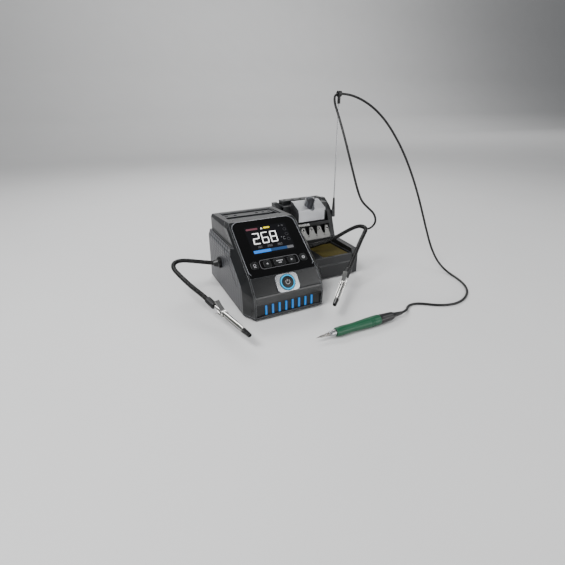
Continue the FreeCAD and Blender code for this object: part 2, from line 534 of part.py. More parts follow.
# ---- Stand ------------------------------------------------------------------------------
def make_stand():
    """Base with the sponge well, side cheeks, column, shelf and tip rack."""
    x0, x1 = STAND_X0, INNER_X1
    outer = [(STAND_Y0, UNDER), (STAND_Y1, UNDER), (STAND_Y1, COLUMN_Z), (COLUMN_Y, COLUMN_Z),
             (COLUMN_Y, STEP_Z), (STEP_Y, STEP_Z), (STEP_Y, DECK_Z), (STAND_Y0 + 1.5, DECK_Z),
             (STAND_Y0 + 1.5, 25.0), (STAND_Y0, 23.5)]
    hollow = inset(outer, STAND_WALL)
    body = prism_x(outer, x0, x1)
    inside = prism_x(hollow, x0 + STAND_WALL, x1 - STAND_WALL)
    opened = box(x0 + STAND_WALL, x1 - STAND_WALL, STAND_Y0 + 4, STAND_Y1 - STAND_WALL, UNDER - 1, UNDER + 4)
    pads = [box(x, x + 22, y, y + 22, UNDER, UNDER + 3) for x in (x0, x1 - 22)
            for y in (STAND_Y0 + 1, STAND_Y1 - 23)]
    well_out = box(WELL_X0 - 2, x1, WELL_Y0 - 2, WELL_Y1 + 2, WELL_FLOOR - 2, DECK_Z)
    well_out = well_out.common(body)
    body = body.cut(inside).cut(opened).fuse(well_out)
    well = box(WELL_X0, x1 - 1.5, WELL_Y0, WELL_Y1, WELL_FLOOR, DECK_Z + 1)
    shelf = box(x0 + CHEEK_T, x1, SHELF_Y, COLUMN_Y, SHELF_Z0, SHELF_Z1)
    body = fuse([body.cut(well), shelf] + pads)
    narrow = box(x0 - 1, x0 + CHEEK_T, STEP_Y - 0.0, BIG, STEP_Z, BIG)
    nodes["stand_base"] = body.cut(narrow).removeSplitter()
    rise = [(152, 76.5), (157, 89), (163, 96), (179, COLUMN_Z + 2.5), (STAND_Y1, COLUMN_Z + 2.5)]
    right = [(STAND_Y0, UNDER), (STAND_Y1, UNDER)] + rise[::-1] + [(STEP_Y + 1, 46.5), (79, 44.0), (STAND_Y0, 35)]
    left = [(STEP_Y, STEP_Z), (STAND_Y1, STEP_Z)] + rise[::-1] + [(STEP_Y + 1, 46.5)]
    nodes["stand_cheek_right"] = prism_x(right, x1, STAND_X1)
    nodes["stand_cheek_left"] = prism_x(left, x0 + 0.3, x0 + CHEEK_T)
    strip = box(x0 + CHEEK_T + 3, x0 + 51, SHELF_Y - 1.2, SHELF_Y, SHELF_Z0 + 0.5, SHELF_Z1 - 0.3)
    nodes["shelf_strip"] = strip
    rack = box(RACK_X0, RACK_X1, RACK_Y0, RACK_Y1, COLUMN_Z, RACK_Z1)
    step = (RACK_X1 - RACK_X0) / RACK_HOLES
    for i in range(RACK_HOLES):
        at = V(RACK_X0 + (i + 0.5) * step, (RACK_Y0 + RACK_Y1) / 2, COLUMN_Z - 1)
        rack = rack.cut(cyl(at, Z, RACK_HOLE_R, 20))
    nodes["tip_rack"] = rack
    sponge = box(WELL_X0 + SPONGE_GAP, x1 - 1.5 - SPONGE_GAP, WELL_Y0 + SPONGE_GAP, WELL_Y1 - SPONGE_GAP,
                 WELL_FLOOR, SPONGE_TOP)
    nodes["sponge"] = sponge


TUBE_AXIS = V(0, math.cos(math.radians(TUBE_TILT)), -math.sin(math.radians(TUBE_TILT)))
TUBE_MID = V(TUBE_X, TUBE_Y, TUBE_Z)


def make_cradle():
    """The housing of the iron's cradle, its aluminium top plate and its tube."""
    bore = cyl(TUBE_MID - TUBE_AXIS * 30, TUBE_AXIS, TUBE_R, 30 + TUBE_BELOW)
    rise = math.tan(math.radians(CRADLE_SLOPE))
    back_y = CRADLE_Y0 + 22
    top = [(CRADLE_Y0, CRADLE_Z1), (COLUMN_Y, CRADLE_Z1), (COLUMN_Y, CRADLE_Z1 + 3.5 + 22 * rise),
           (back_y, CRADLE_Z1 + 3.5 + 22 * rise), (CRADLE_Y0, CRADLE_Z1 + 3.5)]
    block = prism_x(top, CRADLE_X0, CRADLE_X1)
    notch = cyl(V(TUBE_X, CRADLE_Y0 - 5, CRADLE_Z1 + 7.5), Y, 6.5, 16)
    nodes["cradle_block"] = block.cut(bore).cut(notch)
    housing = box(CRADLE_X0 + 1, CRADLE_X1 - 1, CRADLE_Y0 + 1, COLUMN_Y, CRADLE_Z0, CRADLE_Z1)
    nodes["cradle_housing"] = housing.cut(bore)
    pipe = cyl(TUBE_MID - TUBE_AXIS * TUBE_ABOVE, TUBE_AXIS, TUBE_R, TUBE_ABOVE + TUBE_BELOW)
    pipe = pipe.cut(cyl(TUBE_MID - TUBE_AXIS * 30, TUBE_AXIS, TUBE_BORE, 30 + TUBE_BELOW - 2))
    across = V(0, -TUBE_AXIS.z, TUBE_AXIS.y)
    half = placed(box(-60, 2, -20, 20, 0, 30), TUBE_MID - across * 1.0, TUBE_AXIS, -across)
    nodes["cradle_tube"] = pipe.cut(half)
    pocket = cyl(TUBE_MID - TUBE_AXIS * 30, TUBE_AXIS, TUBE_R + FIT, 30 + TUBE_BELOW + FIT)
    nodes["stand_base"] = nodes["stand_base"].cut(pocket)


def make_finger_plate():
    """The leaning tip-changing plate: a row of fingers with an eyelet in each."""
    x0, x1 = STAND_X0 + CHEEK_T, INNER_X1
    plate = box(x0, x1, 0, FINGER_T, 0, FINGER_BAND)
    first = FINGER_X - FINGER_PITCH
    i = 0
    parts = [plate]
    cuts = []
    while first + i * FINGER_PITCH < x1 + FINGER_PITCH:
        x = first + i * FINGER_PITCH
        finger = [(x - 5.9, FINGER_BAND - 0.1), (x + 5.9, FINGER_BAND - 0.1), (x + 3.4, FINGER_BAND + FINGER_LEN - 3),
                  (x + 2.2, FINGER_BAND + FINGER_LEN - 1.8), (x - 2.2, FINGER_BAND + FINGER_LEN - 1.8),
                  (x - 3.4, FINGER_BAND + FINGER_LEN - 3)]
        parts.append(prism_y(finger, 0, FINGER_T))
        cuts.append(cyl(V(x, -2, FINGER_BAND + FINGER_LEN - 6.2), Y, 1.7, 8))
        cuts.append(cyl(V(x + FINGER_PITCH / 2, -2, FINGER_BAND - 2.6), Y, 1.2, 8))
        i += 1
    whole = fuse(parts).common(box(x0, x1, -5, 5, -1, 60))
    for cut in cuts:
        whole = whole.cut(cut)
    lean = math.radians(FINGER_LEAN)
    whole.rotate(V(0, 0, 0), X, -(90 - FINGER_LEAN))
    whole.translate(V(0, STEP_Y + 0.2, STEP_Z + FINGER_T * math.cos(lean)))
    nodes["finger_plate"] = whole


def make_rod():
    """The lead holder: a tapered socket on the right cheek, a thin rod and its top clip."""
    x = STAND_X1 + ROD_X_OUT
    cone = Part.makeCone(CONE_R0, CONE_R1, CONE_Z1 - CONE_Z0, V(x, ROD_Y, CONE_Z0))
    bracket = box(STAND_X1, x, ROD_Y - 3, ROD_Y + 3, CONE_Z0 + 2, CONE_Z0 + 12)
    holder = fuse([cone, bracket]).cut(cyl(V(x, ROD_Y, ROD_Z0), Z, ROD_R, 60))
    nodes["rod_socket"] = holder
    nodes["lead_rod"] = cyl(V(x, ROD_Y, ROD_Z0), Z, ROD_R, ROD_Z1 - ROD_Z0)
    clip = fuse([cyl(V(x, ROD_Y, ROD_Z1 - 8), Z, 2.4, 11), cyl(V(x - 3, ROD_Y, ROD_Z1 + 6.0), X, 4.2, 6)])
    clip = clip.cut(cyl(V(x, ROD_Y, ROD_Z1 - 20), Z, ROD_R, 20))
    nodes["rod_clip"] = clip.cut(cyl(V(x - 9, ROD_Y, ROD_Z1 + 6.0), X, LEAD_R + 0.1, 18))


# ---- Iron and lead ----------------------------------------------------------------------
LEAD_TOP_Z = 270.0
LEAD = [V(92, 128, 43.5), V(103, 126, 43), V(120, 116, 48.8), V(136, 106, 56.8), V(149, 98, 66),
        V(160, 92, 73.2), V(170, 87, 75.6), V(185, 82, 68.5), V(195.5, 77, 79.5), V(190, 75, 95.5),
        V(175, 74, 107.5), V(161.5, 74.5, 119), V(154.5, 78, 136), V(151, 88, 162), V(149, 101, 190),
        V(148, 116, 218), V(148, 132, 242), V(149.5, 146, 258), V(155.6, 155, LEAD_TOP_Z),
        V(171.6, 155, LEAD_TOP_Z), V(187, 151, 267.5), V(204, 144, 260), V(220, 135, 248),
        V(235, 125, 231), V(248, 114, 209), V(259, 102, 184), V(268, 90, 156), V(275.5, 78, 126),
        V(281, 66, 95), V(285.5, 54, 64), V(289, 41, 35), V(291.5, 24, 13.5), V(292, 3, 3.4),
        V(289, -20, 1.85), V(280, -42, 1.85), V(265, -60.5, 1.85), V(243, -74.5, 1.85),
        V(220, -80.5, 1.85), V(199, -76.5, 1.85), V(184, -66.5, 1.85), V(173, -56.5, 1.85),
        V(159.5, -53.5, 1.85), V(148.5, -59, 2.8), V(138.5, -68.5, 5.0), V(124, -72, IRON_AXIS_Z)]


def make_iron():
    """The iron, lying on the bench along X, and its lead back to the unit."""
    at = V(0, IRON_Y, IRON_AXIS_Z)
    tip = turned([(TIP_X, 0.15), (TIP_X + 5, 0.9), (TIP_X + 7, TIP_R), (GRIP_X0 + 20, TIP_R)], at)
    tip = fuse([tip, cyl(at + X * (NOZZLE_X - 4), X, 2.1, 4)])
    nodes["iron_tip"] = tip
    nozzle = turned([(NOZZLE_X, 2.6), (NOZZLE_X + 2, 3.4), (GRIP_X0 - 1, 3.9), (GRIP_X0 + 10, 3.9)], at)
    nodes["iron_nozzle"] = nozzle.cut(cyl(at + X * (NOZZLE_X - 1), X, TIP_R + RUN, 60))
    core = turned([(GRIP_X0 + 10, CORE_R), (GRIP_X1, CORE_R), (GRIP_X1 + 0.1, 5.9), (GRIP_X1 + 3, 6.3),
                   (IRON_X1 - 3, 5.2), (IRON_X1, 4.2), (IRON_X1 + 3, 3.2)], at)
    core = core.cut(cyl(at + X * GRIP_X0, X, TIP_R + RUN, 20 + RUN))
    nodes["iron_body"] = core
    span = GRIP_X1 - GRIP_X0
    grip = turned([(GRIP_X0, 4.9), (GRIP_X0 + 1.5, 5.6), (GRIP_X0 + 0.12 * span, 5.9),
                   (GRIP_X0 + 0.32 * span, 5.5), (GRIP_X0 + 0.55 * span, 6.0), (GRIP_X0 + 0.74 * span, 6.6),
                   (GRIP_X0 + 0.76 * span, 6.3), (GRIP_X0 + 0.78 * span, 6.3), (GRIP_X0 + 0.80 * span, 6.75),
                   (GRIP_X1 - 1.5, 6.75), (GRIP_X1, 6.2)], at)
    hole = fuse([cyl(at + X * (GRIP_X0 - 1), X, 3.9, 12), cyl(at + X * (GRIP_X0 + 10), X, CORE_R, span)])
    nodes["iron_grip"] = grip.cut(hole)
    lead = tube("iron_lead", LEAD, LEAD_R)
    nodes["iron_lead"] = lead
    relief = turned([(IRON_X1 + 3, 3.2), (RELIEF_X1, 2.3)], at)
    nodes["iron_strain_relief"] = relief.cut(lead)
    nodes["rod_clip"] = nodes["rod_clip"].cut(lead)
    jack = V(SIDE_HALF, LEAD_Y, LEAD_Z)
    socket = turned([(-14, 4.5), (0, 4.5), (0, 5.4), (1.6, 5.4)], jack)
    nodes["iron_socket"] = socket.cut(cyl(jack - X * 10, X, 3.0, 20))
    plug = turned([(-9, 2.9), (1.6, 2.9), (1.6, 5.0), (20, 5.0), (22, 4.2), (LEAD[0].x - SIDE_HALF, 2.5)], jack)
    nodes["lead_plug"] = plug.cut(lead)


def write_out():
    """Writes each piece, moved so that the origin is under the middle of the object."""
    os.makedirs("parts", exist_ok=True)
    whole = FreeCAD.BoundBox()
    cord = {"iron_lead", "lead_plug"}
    for name, shape in nodes.items():
        if name not in cord:
            whole.add(shape.BoundBox)
    shift = V(-whole.Center.x, -whole.Center.y, 0)
    print(f"object {whole.XLength:.1f} x {whole.YLength:.1f} x {whole.ZLength:.1f}, "
          f"lowest {whole.ZMin:.2f}, shift {shift.x:.3f} {shift.y:.3f}")
    for name, shape in nodes.items():
        moved = shape.copy()
        moved.translate(shift)
        moved.exportStep(f"parts/{name}.step")
    return shift


make_body()
make_face()
make_top_and_inside()
make_arm("left", LEFT_ARM, LEFT_TIP)
make_arm("right", RIGHT_ARM, RIGHT_TIP)
make_stand()
make_cradle()
make_finger_plate()
make_rod()
make_iron()
SHIFT = write_out()
print(f"{len(nodes)} nodes")
for node_name, node_shape in nodes.items():
    if not node_shape.isValid() or not node_shape.Solids:
        print("CHECK", node_name, node_shape.ShapeType, node_shape.isValid(), len(node_shape.Solids))
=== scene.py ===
# %% [markdown]
# A soldering station for an electronics bench. The mechanical model is finished and
# measured before this script starts, so nothing here decides a size: the script loads that
# model as a fixed frame and dresses it. What the frame already shapes well keeps its mesh
# and gets a real finish; what it only roughs out, such as the sponge, gets its own mesh.

# %% Load the frame
import math
import bpy
import bmesh
from mathutils import Matrix, Vector, noise as chaos


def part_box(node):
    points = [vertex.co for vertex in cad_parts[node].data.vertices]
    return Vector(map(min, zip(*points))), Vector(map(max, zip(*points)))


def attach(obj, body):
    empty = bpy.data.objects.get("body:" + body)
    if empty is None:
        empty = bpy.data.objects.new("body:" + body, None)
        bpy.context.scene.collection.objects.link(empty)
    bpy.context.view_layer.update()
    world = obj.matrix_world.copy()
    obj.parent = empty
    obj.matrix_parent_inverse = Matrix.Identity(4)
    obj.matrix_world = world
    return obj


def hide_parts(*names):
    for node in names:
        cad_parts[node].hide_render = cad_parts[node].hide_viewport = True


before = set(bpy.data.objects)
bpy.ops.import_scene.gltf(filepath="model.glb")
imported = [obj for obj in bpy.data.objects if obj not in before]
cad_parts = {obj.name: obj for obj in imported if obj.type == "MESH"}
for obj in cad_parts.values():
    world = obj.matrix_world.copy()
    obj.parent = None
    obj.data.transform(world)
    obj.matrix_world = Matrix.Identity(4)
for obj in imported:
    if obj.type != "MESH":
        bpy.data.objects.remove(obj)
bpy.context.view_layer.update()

# %% [markdown]
# The maker's drawings measure from the middle of the control unit's front foot line, with
# X to the right, Y to the back and Z up, in millimetres. The frame measures in metres from
# the middle of the whole station. Two faces of the base plate give the shift between them,
# and one function then turns any drawing point into a place in the scene.

# %% From drawing millimetres to scene metres
MM = 0.001
PLATE_SETBACK = 0.6    # the base plate starts this far behind the front foot line
base_low, base_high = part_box("base_plate")
shift = Vector(((base_low.x + base_high.x) / 2, base_low.y - PLATE_SETBACK * MM, 0))


def at(x, y, z):
    """A drawing point, in millimetres, as a place in the scene."""
    return Vector((x, y, z)) / 1000 + shift


print("drawing origin lies at", [round(v, 4) for v in shift])

# %% [markdown]
# The camera comes first, because everything else is judged through it. It stands to the
# left of the station and looks a little down on it, and the lens is wide, as on a phone.
# A camera looks along its own -Z with its Y up, so its turn is built from three directions.

# %% Camera
CAMERA_TURN, CAMERA_LIFT, CAMERA_ROLL = math.radians(-25.4), math.radians(25.4), math.radians(-0.7)
CAMERA_REACH = 0.502          # metres from the point it looks at
FOCAL_SHARE = 357 / 565       # focal length as a share of the picture's width

aim = at(7.9, 40, 28.7)
back = Vector((math.sin(CAMERA_TURN) * math.cos(CAMERA_LIFT),
               -math.cos(CAMERA_TURN) * math.cos(CAMERA_LIFT), math.sin(CAMERA_LIFT)))
right = (-back).cross(Vector((0, 0, 1))).normalized()
up = right.cross(-back)
rolled_right = math.cos(CAMERA_ROLL) * right + math.sin(CAMERA_ROLL) * up
rolled_up = math.cos(CAMERA_ROLL) * up - math.sin(CAMERA_ROLL) * right
camera = bpy.data.objects.new("camera", bpy.data.cameras.new("camera"))
camera.data.lens = FOCAL_SHARE * camera.data.sensor_width
camera.data.clip_start = 0.01
camera.matrix_world = (Matrix.Translation(aim + back * CAMERA_REACH)
                       @ Matrix((rolled_right, rolled_up, back)).transposed().to_4x4())
bpy.context.scene.collection.objects.link(camera)
bpy.context.scene.camera = camera
print("camera at", [round(v, 3) for v in camera.location], "lens", round(camera.data.lens, 2), "mm")

# %% [markdown]
# The iron's lead is a limp silicone cable, 3.5 mm thick. It leaves its plug in the unit's
# right side, rises over the gooseneck, hangs in the clip at the top of the thin rod, and
# comes down to the bench and round to the iron. A smooth NURBS line through the route's
# control points gives the even bends that a heavy, soft cable takes under its own weight.

# %% The lead
LEAD_RADIUS, LEAD_LENGTH = 0.00175, 0.95
LEAD_ROUTE = [(92, 128, 43.5), (103, 126, 43), (120, 116, 48.8), (136, 106, 56.8), (149, 98, 66),
              (160, 92, 73.2), (170, 87, 75.6), (185, 82, 68.5), (195.5, 77, 79.5), (190, 75, 95.5),
              (175, 74, 107.5), (161.5, 74.5, 119), (154.5, 78, 136), (151, 88, 162), (149, 101, 190),
              (148, 116, 218), (148, 132, 242), (149.5, 146, 258), (155.6, 155, 270),
              (171.6, 155, 270), (187, 151, 267.5), (204, 144, 260), (220, 135, 248),
              (235, 125, 231), (248, 114, 209), (259, 102, 184), (268, 90, 156), (275.5, 78, 126),
              (281, 66, 95), (285.5, 54, 64), (289, 41, 35), (291.5, 24, 13.5), (292, 3, 3.4),
              (289, -20, 1.85), (280, -42, 1.85), (265, -60.5, 1.85), (243, -74.5, 1.85),
              (220, -80.5, 1.85), (199, -76.5, 1.85), (184, -66.5, 1.85), (173, -56.5, 1.85),
              (159.5, -53.5, 1.85), (148.5, -59, 2.8), (138.5, -68.5, 5.0), (124, -72, 6.9)]


def smooth_line(name, points, radius=0.0):
    """A curve object whose one NURBS spline has these control points. Each point carries the
    tube's radius, and a bevel of 1 turns it into thickness, so the curve's own box is true."""
    curve = bpy.data.curves.new(name, "CURVE")
    curve.dimensions = "3D"
    spline = curve.splines.new("NURBS")
    spline.points.add(len(points) - 1)
    for control, point in zip(spline.points, points):
        control.co = (*point, 1)
        control.radius = radius
    spline.order_u = 3
    spline.use_endpoint_u = True
    spline.resolution_u = 8
    line = bpy.data.objects.new(name, curve)
    bpy.context.scene.collection.objects.link(line)
    return line


def line_length(line):
    """The length of a curve object's line, measured on its own fine points."""
    mesh = bpy.data.meshes.new_from_object(line)
    total = sum((mesh.vertices[e.vertices[0]].co - mesh.vertices[e.vertices[1]].co).length
                for e in mesh.edges)
    bpy.data.meshes.remove(mesh)
    return total


lead_points = [at(*p) for p in LEAD_ROUTE]
lead = smooth_line("iron_lead_cable", lead_points, LEAD_RADIUS)
lead_length = line_length(lead)
lead.data.bevel_depth = 1.0
lead.data.bevel_resolution = 5
lead.data.use_fill_caps = True
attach(lead, "station")
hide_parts("iron_lead")
print("lead is", round(lead_length, 3), "m long")

# %% [markdown]
# Every finish below is a node tree. Two small helpers keep them readable: one turns the
# hex colour of a colour chart into the linear light values that shading works in, and one
# adds a node with its settings and its links in a single line.

# %% Helpers for finishes
def linear(code):
    """An sRGB hex colour as linear RGBA."""
    parts = [int(code[i:i + 2], 16) / 255 for i in (1, 3, 5)]
    return (*[c / 12.92 if c <= 0.04045 else ((c + 0.055) / 1.055) ** 2.4 for c in parts], 1)


def add(tree, kind, settings=(), links=()):
    """Adds a node. A setting or link whose key is a socket goes to that input."""
    node = tree.nodes.new(kind)
    for key, value in dict(settings).items():
        if isinstance(key, int) or key in node.inputs:
            node.inputs[key].default_value = value
        else:
            setattr(node, key, value)
    for key, source in dict(links).items():
        tree.links.new(source, node.inputs[key])
    return node


def new_finish(name, **shader_values):
    """A material with an empty tree but for its shader; returns it, its tree and its shader."""
    material = bpy.data.materials.new(name)
    material.use_nodes = True
    tree = material.node_tree
    tree.nodes.clear()
    shader = add(tree, "ShaderNodeBsdfPrincipled",
                 {key.replace("_", " "): value for key, value in shader_values.items()})
    add(tree, "ShaderNodeOutputMaterial", links={"Surface": shader.outputs[0]})
    return material, tree, shader


def join(tree, a, b):
    """Links an output to an input."""
    tree.links.new(a, b)


def grained_colour(tree, shader, dark, light, patch_mm):
    """Slow colour drift between two close shades, with patches of a given size."""
    place = add(tree, "ShaderNodeTexCoord").outputs["Object"]
    noise = add(tree, "ShaderNodeTexNoise", {"Scale": 1 / (patch_mm * MM), "Detail": 3.0},
                {"Vector": place})
    mix = add(tree, "ShaderNodeMix", {"data_type": "RGBA", 6: linear(dark), 7: linear(light)},
              {0: noise.outputs["Fac"]})
    join(tree, mix.outputs[2], shader.inputs["Base Color"])
    return place, noise, mix


def varied_gloss(tree, shader, noise_output, low, high):
    """Lets the roughness drift between two values."""
    spread = add(tree, "ShaderNodeMapRange", {"To Min": low, "To Max": high}, {"Value": noise_output})
    join(tree, spread.outputs[0], shader.inputs["Roughness"])


EDGE_SAMPLES = 12
EDGE_BEGINS, EDGE_FULL = 0.999, 0.75    # how far a rounded edge has turned from the flat face


def edge_wear_and_highlight(tree, shader, mix, wear_highlight_colour, edge_mm, share):
    """Rounds sharp edges in the shading and lightens them, partly as handling wears them and partly as a
    painted highlight along the edge.
    """
    soft = add(tree, "ShaderNodeBevel", {"Radius": edge_mm * MM, "samples": EDGE_SAMPLES})
    true = add(tree, "ShaderNodeNewGeometry").outputs["True Normal"]
    facing = add(tree, "ShaderNodeVectorMath", {"operation": "DOT_PRODUCT"},
                 {0: soft.outputs[0], 1: true})
    edge = add(tree, "ShaderNodeMapRange",
               {"From Min": EDGE_BEGINS, "From Max": EDGE_FULL, "To Max": share},
               {"Value": facing.outputs["Value"]})
    # The lighter edge colour is partly wear and partly a painted highlight along the edge.
    both = add(tree, "ShaderNodeMix", {"data_type": "RGBA", 7: linear(wear_highlight_colour)},
               {0: edge.outputs[0], 6: mix.outputs[2]})
    join(tree, both.outputs[2], shader.inputs["Base Color"])
    return soft.outputs[0]


# %% [markdown]
# The housing is injection-moulded ABS with a fine spark-eroded grain, about 0.3 mm from
# peak to peak. That is too fine to show at arm's length, so it is drawn at 0.7 mm. The
# grain scatters the light into a soft grey sheen. The edges are a shade lighter, partly from
# wear and partly as a painted highlight. The nose and the small parts are moulded in
# polished tools, so they are darker and glossier.

# %% Moulded ABS
ABS_IOR = 1.53
GRAIN_MM, ABS_PATCH_MM = 0.7, 18


def moulded_abs(name, dark, light, wear_highlight_colour, gloss, grain_depth=0.25, edge_mm=0.8):
    material, tree, shader = new_finish(name, IOR=ABS_IOR, Specular_IOR_Level=0.38)
    place, noise, mix = grained_colour(tree, shader, dark, light, ABS_PATCH_MM)
    normal = edge_wear_and_highlight(tree, shader, mix, wear_highlight_colour, edge_mm, 0.7)
    grain = add(tree, "ShaderNodeTexNoise", {"Scale": 1 / (GRAIN_MM * MM), "Detail": 2.0},
                {"Vector": place})
    bump = add(tree, "ShaderNodeBump", {"Strength": grain_depth, "Distance": 0.05 * MM},
               {"Height": grain.outputs["Fac"], "Normal": normal})
    join(tree, bump.outputs[0], shader.inputs["Normal"])
    varied_gloss(tree, shader, noise.outputs["Fac"], gloss - 0.06, gloss + 0.08)
    return material


# The fourth colour of each finish is its edge colour: partly wear, partly a painted highlight.
housing_abs = moulded_abs("housing_abs", "#121314", "#19191b", "#6e7074", 0.36, edge_mm=1.0)
frame_abs = moulded_abs("front_frame_abs", "#101112", "#161718", "#8a8c90", 0.27,
                        grain_depth=0.08, edge_mm=1.0)
nose_abs = moulded_abs("nose_satin_abs", "#0d0e0f", "#121314", "#4c4e52", 0.24, grain_depth=0.03)
slot_abs = moulded_abs("slot_panel_abs", "#0a0b0c", "#0e0f10", "#26282b", 0.34)
tray_abs = moulded_abs("tip_tray_abs", "#1a1b1d", "#222325", "#7c7e82", 0.38)
stand_abs = moulded_abs("stand_abs", "#101112", "#161719", "#6c6e72", 0.36)
rack_abs = moulded_abs("tip_rack_abs", "#0d0e0f", "#131415", "#585a5e", 0.34)
dark_abs = moulded_abs("small_parts_abs", "#0a0b0c", "#101112", "#3c3e42", 0.33, edge_mm=0.4)
print("moulded plastics made")

# %% [markdown]
# The side panels carry a moulded lattice of small raised lozenges, about 3 mm long. That is
# too fine to show from here, so they are drawn 10 mm long and 4.6 mm high. Crossing two
# sets of slanted waves in the panel's own plane gives that lattice as a height for the
# bump. The hollows between the lozenges are painted near black as shade, and their raised
# middles keep a lighter grey as a painted highlight.

# %% Lozenge-textured side panels
def lozenge_abs(name, length_mm, height_mm):
    material, tree, shader = new_finish(name, IOR=ABS_IOR, Specular_IOR_Level=0.4)
    place, noise, mix = grained_colour(tree, shader, "#3c3d42", "#484a50", 22)
    parts = add(tree, "ShaderNodeSeparateXYZ", links={0: place})
    along = add(tree, "ShaderNodeMath", {"operation": "MULTIPLY", 1: math.pi / (length_mm * MM)},
                {0: parts.outputs["Y"]})
    tall = add(tree, "ShaderNodeMath", {"operation": "MULTIPLY", 1: math.pi / (height_mm * MM)},
               {0: parts.outputs["Z"]})
    waves = []
    for operation in ("ADD", "SUBTRACT"):
        phase = add(tree, "ShaderNodeMath", {"operation": operation},
                    {0: along.outputs[0], 1: tall.outputs[0]})
        waves.append(add(tree, "ShaderNodeMath", {"operation": "SINE"}, {0: phase.outputs[0]}))
    lattice = add(tree, "ShaderNodeMath", {"operation": "MULTIPLY"},
                  {0: waves[0].outputs[0], 1: waves[1].outputs[0]})
    # Painted shade in the hollows; the raised middles keep the lighter grey as a painted highlight.
    lozenge_shade = add(tree, "ShaderNodeMapRange", {"From Min": -0.2, "From Max": 0.4},
               {"Value": lattice.outputs[0]})
    both = add(tree, "ShaderNodeMix", {"data_type": "RGBA", 6: linear("#0c0c0d")},
               {0: lozenge_shade.outputs[0], 7: mix.outputs[2]})
    join(tree, both.outputs[2], shader.inputs["Base Color"])
    bump = add(tree, "ShaderNodeBump", {"Strength": 0.8, "Distance": 0.35 * MM},
               {"Height": lattice.outputs[0]})
    join(tree, bump.outputs[0], shader.inputs["Normal"])
    varied_gloss(tree, shader, noise.outputs["Fac"], 0.34, 0.46)
    return material


panel_abs = lozenge_abs("lozenge_panel_abs", length_mm=10.0, height_mm=4.6)
print("side panel lattice made")

# %% [markdown]
# The face is a sheet of glass printed black from behind. It mirrors the room with an almost
# perfect polish; only faint finger marks break the reflection, so the gloss varies a little.
# Its edge is ground, not printed, and looks like pale satin plastic, so it shares that tree.

# %% Black printed glass
def printed_glass(name):
    material, tree, shader = new_finish(name, IOR=1.5, Specular_IOR_Level=0.3)
    place = grained_colour(tree, shader, "#020202", "#040405", 25)[0]
    marks = add(tree, "ShaderNodeTexNoise", {"Scale": 1 / (9 * MM), "Detail": 5.0, "Distortion": 0.6},
                {"Vector": place})
    varied_gloss(tree, shader, marks.outputs["Fac"], 0.03, 0.14)
    return material


face_glass = printed_glass("black_printed_glass")
edge_finish = moulded_abs("ground_glass_edge", "#54565a", "#64666a", "#909296", 0.22)

# %% [markdown]
# Metals keep the default index and take their look from colour, roughness and the marks of
# how they were worked. Milled and extruded aluminium is pale and satin, brushed sheet has
# long scratches one way, drawn wire has them along its length, plated steel is bright and
# nearly smooth, and an iron-plated tip is dulled by heat. Stretched noise draws the scratches.

# %% Metals
def worked_metal(name, colour, tarnish, gloss, scratch_mm=(40, 0.25, 0.25), scratch_depth=0.15,
                 edge_mm=0.4):
    material, tree, shader = new_finish(name, Metallic=1.0)
    place, noise, mix = grained_colour(tree, shader, tarnish, colour, 12)
    # Near-white edges: a painted highlight along the edge, with some wear.
    normal = edge_wear_and_highlight(tree, shader, mix, "#f2f2f2", edge_mm, 0.4)
    stretch = add(tree, "ShaderNodeMapping",
                  {"Scale": tuple(1 / (s * MM) for s in scratch_mm)}, {"Vector": place})
    scratches = add(tree, "ShaderNodeTexNoise", {"Scale": 1.0, "Detail": 3.0},
                    {"Vector": stretch.outputs[0]})
    bump = add(tree, "ShaderNodeBump", {"Strength": scratch_depth, "Distance": 0.03 * MM},
               {"Height": scratches.outputs["Fac"], "Normal": normal})
    join(tree, bump.outputs[0], shader.inputs["Normal"])
    varied_gloss(tree, shader, noise.outputs["Fac"], gloss - 0.04, gloss + 0.06)
    return material


MILLED = (30, 0.6, 0.6)
cradle_aluminium = worked_metal("milled_aluminium", "#b6b7ba", "#a2a3a6", 0.33, MILLED, 0.05)
plate_aluminium = worked_metal("satin_anodised_aluminium", "#b8babd", "#a8aaad", 0.2, MILLED, 0.05, 0.2)
finger_steel = worked_metal("brushed_stainless", "#8b8b89", "#6c6c6a", 0.3)
clip_steel = worked_metal("nickel_plated_steel", "#c9c8c5", "#a3a29f", 0.15, (6, 6, 6), 0.05)
strip_steel = worked_metal("polished_steel_strip", "#d4d4d2", "#bcbcba", 0.2, (20, 0.3, 0.3))
rod_steel = worked_metal("drawn_steel_wire", "#a9aaac", "#8b8c8e", 0.25, (0.5, 0.5, 60))
tip_steel = worked_metal("iron_plated_tip", "#9c9a97", "#6d6865", 0.3, (20, 1, 1))
sink_aluminium = worked_metal("extruded_aluminium", "#a6a7a9", "#8d8e90", 0.4)
print("metals made")

# %% [markdown]
# Light comes out of three things: the ring round the power button, the eight slots in the
# nose and the display. The ring and slots are frosted acrylic lit from behind; the frost
# scatters the glow, so it reads as a coloured surface and not as a lamp. The ring is
# brightest at its inner rim. Display inks are the same acrylic at their own strengths.

# %% Lit acrylic and display inks
def lit(name, surface, glow, strength, gloss=0.35):
    """Frosted acrylic or ink with one colour of its own and a glow."""
    material, tree, shader = new_finish(name, Base_Color=linear(surface), IOR=1.49,
                                        Emission_Color=linear(glow), Emission_Strength=strength)
    place = add(tree, "ShaderNodeTexCoord").outputs["Object"]
    frost = add(tree, "ShaderNodeTexNoise", {"Scale": 1 / (0.4 * MM), "Detail": 2.0}, {"Vector": place})
    varied_gloss(tree, shader, frost.outputs["Fac"], gloss - 0.08, gloss + 0.12)
    return material


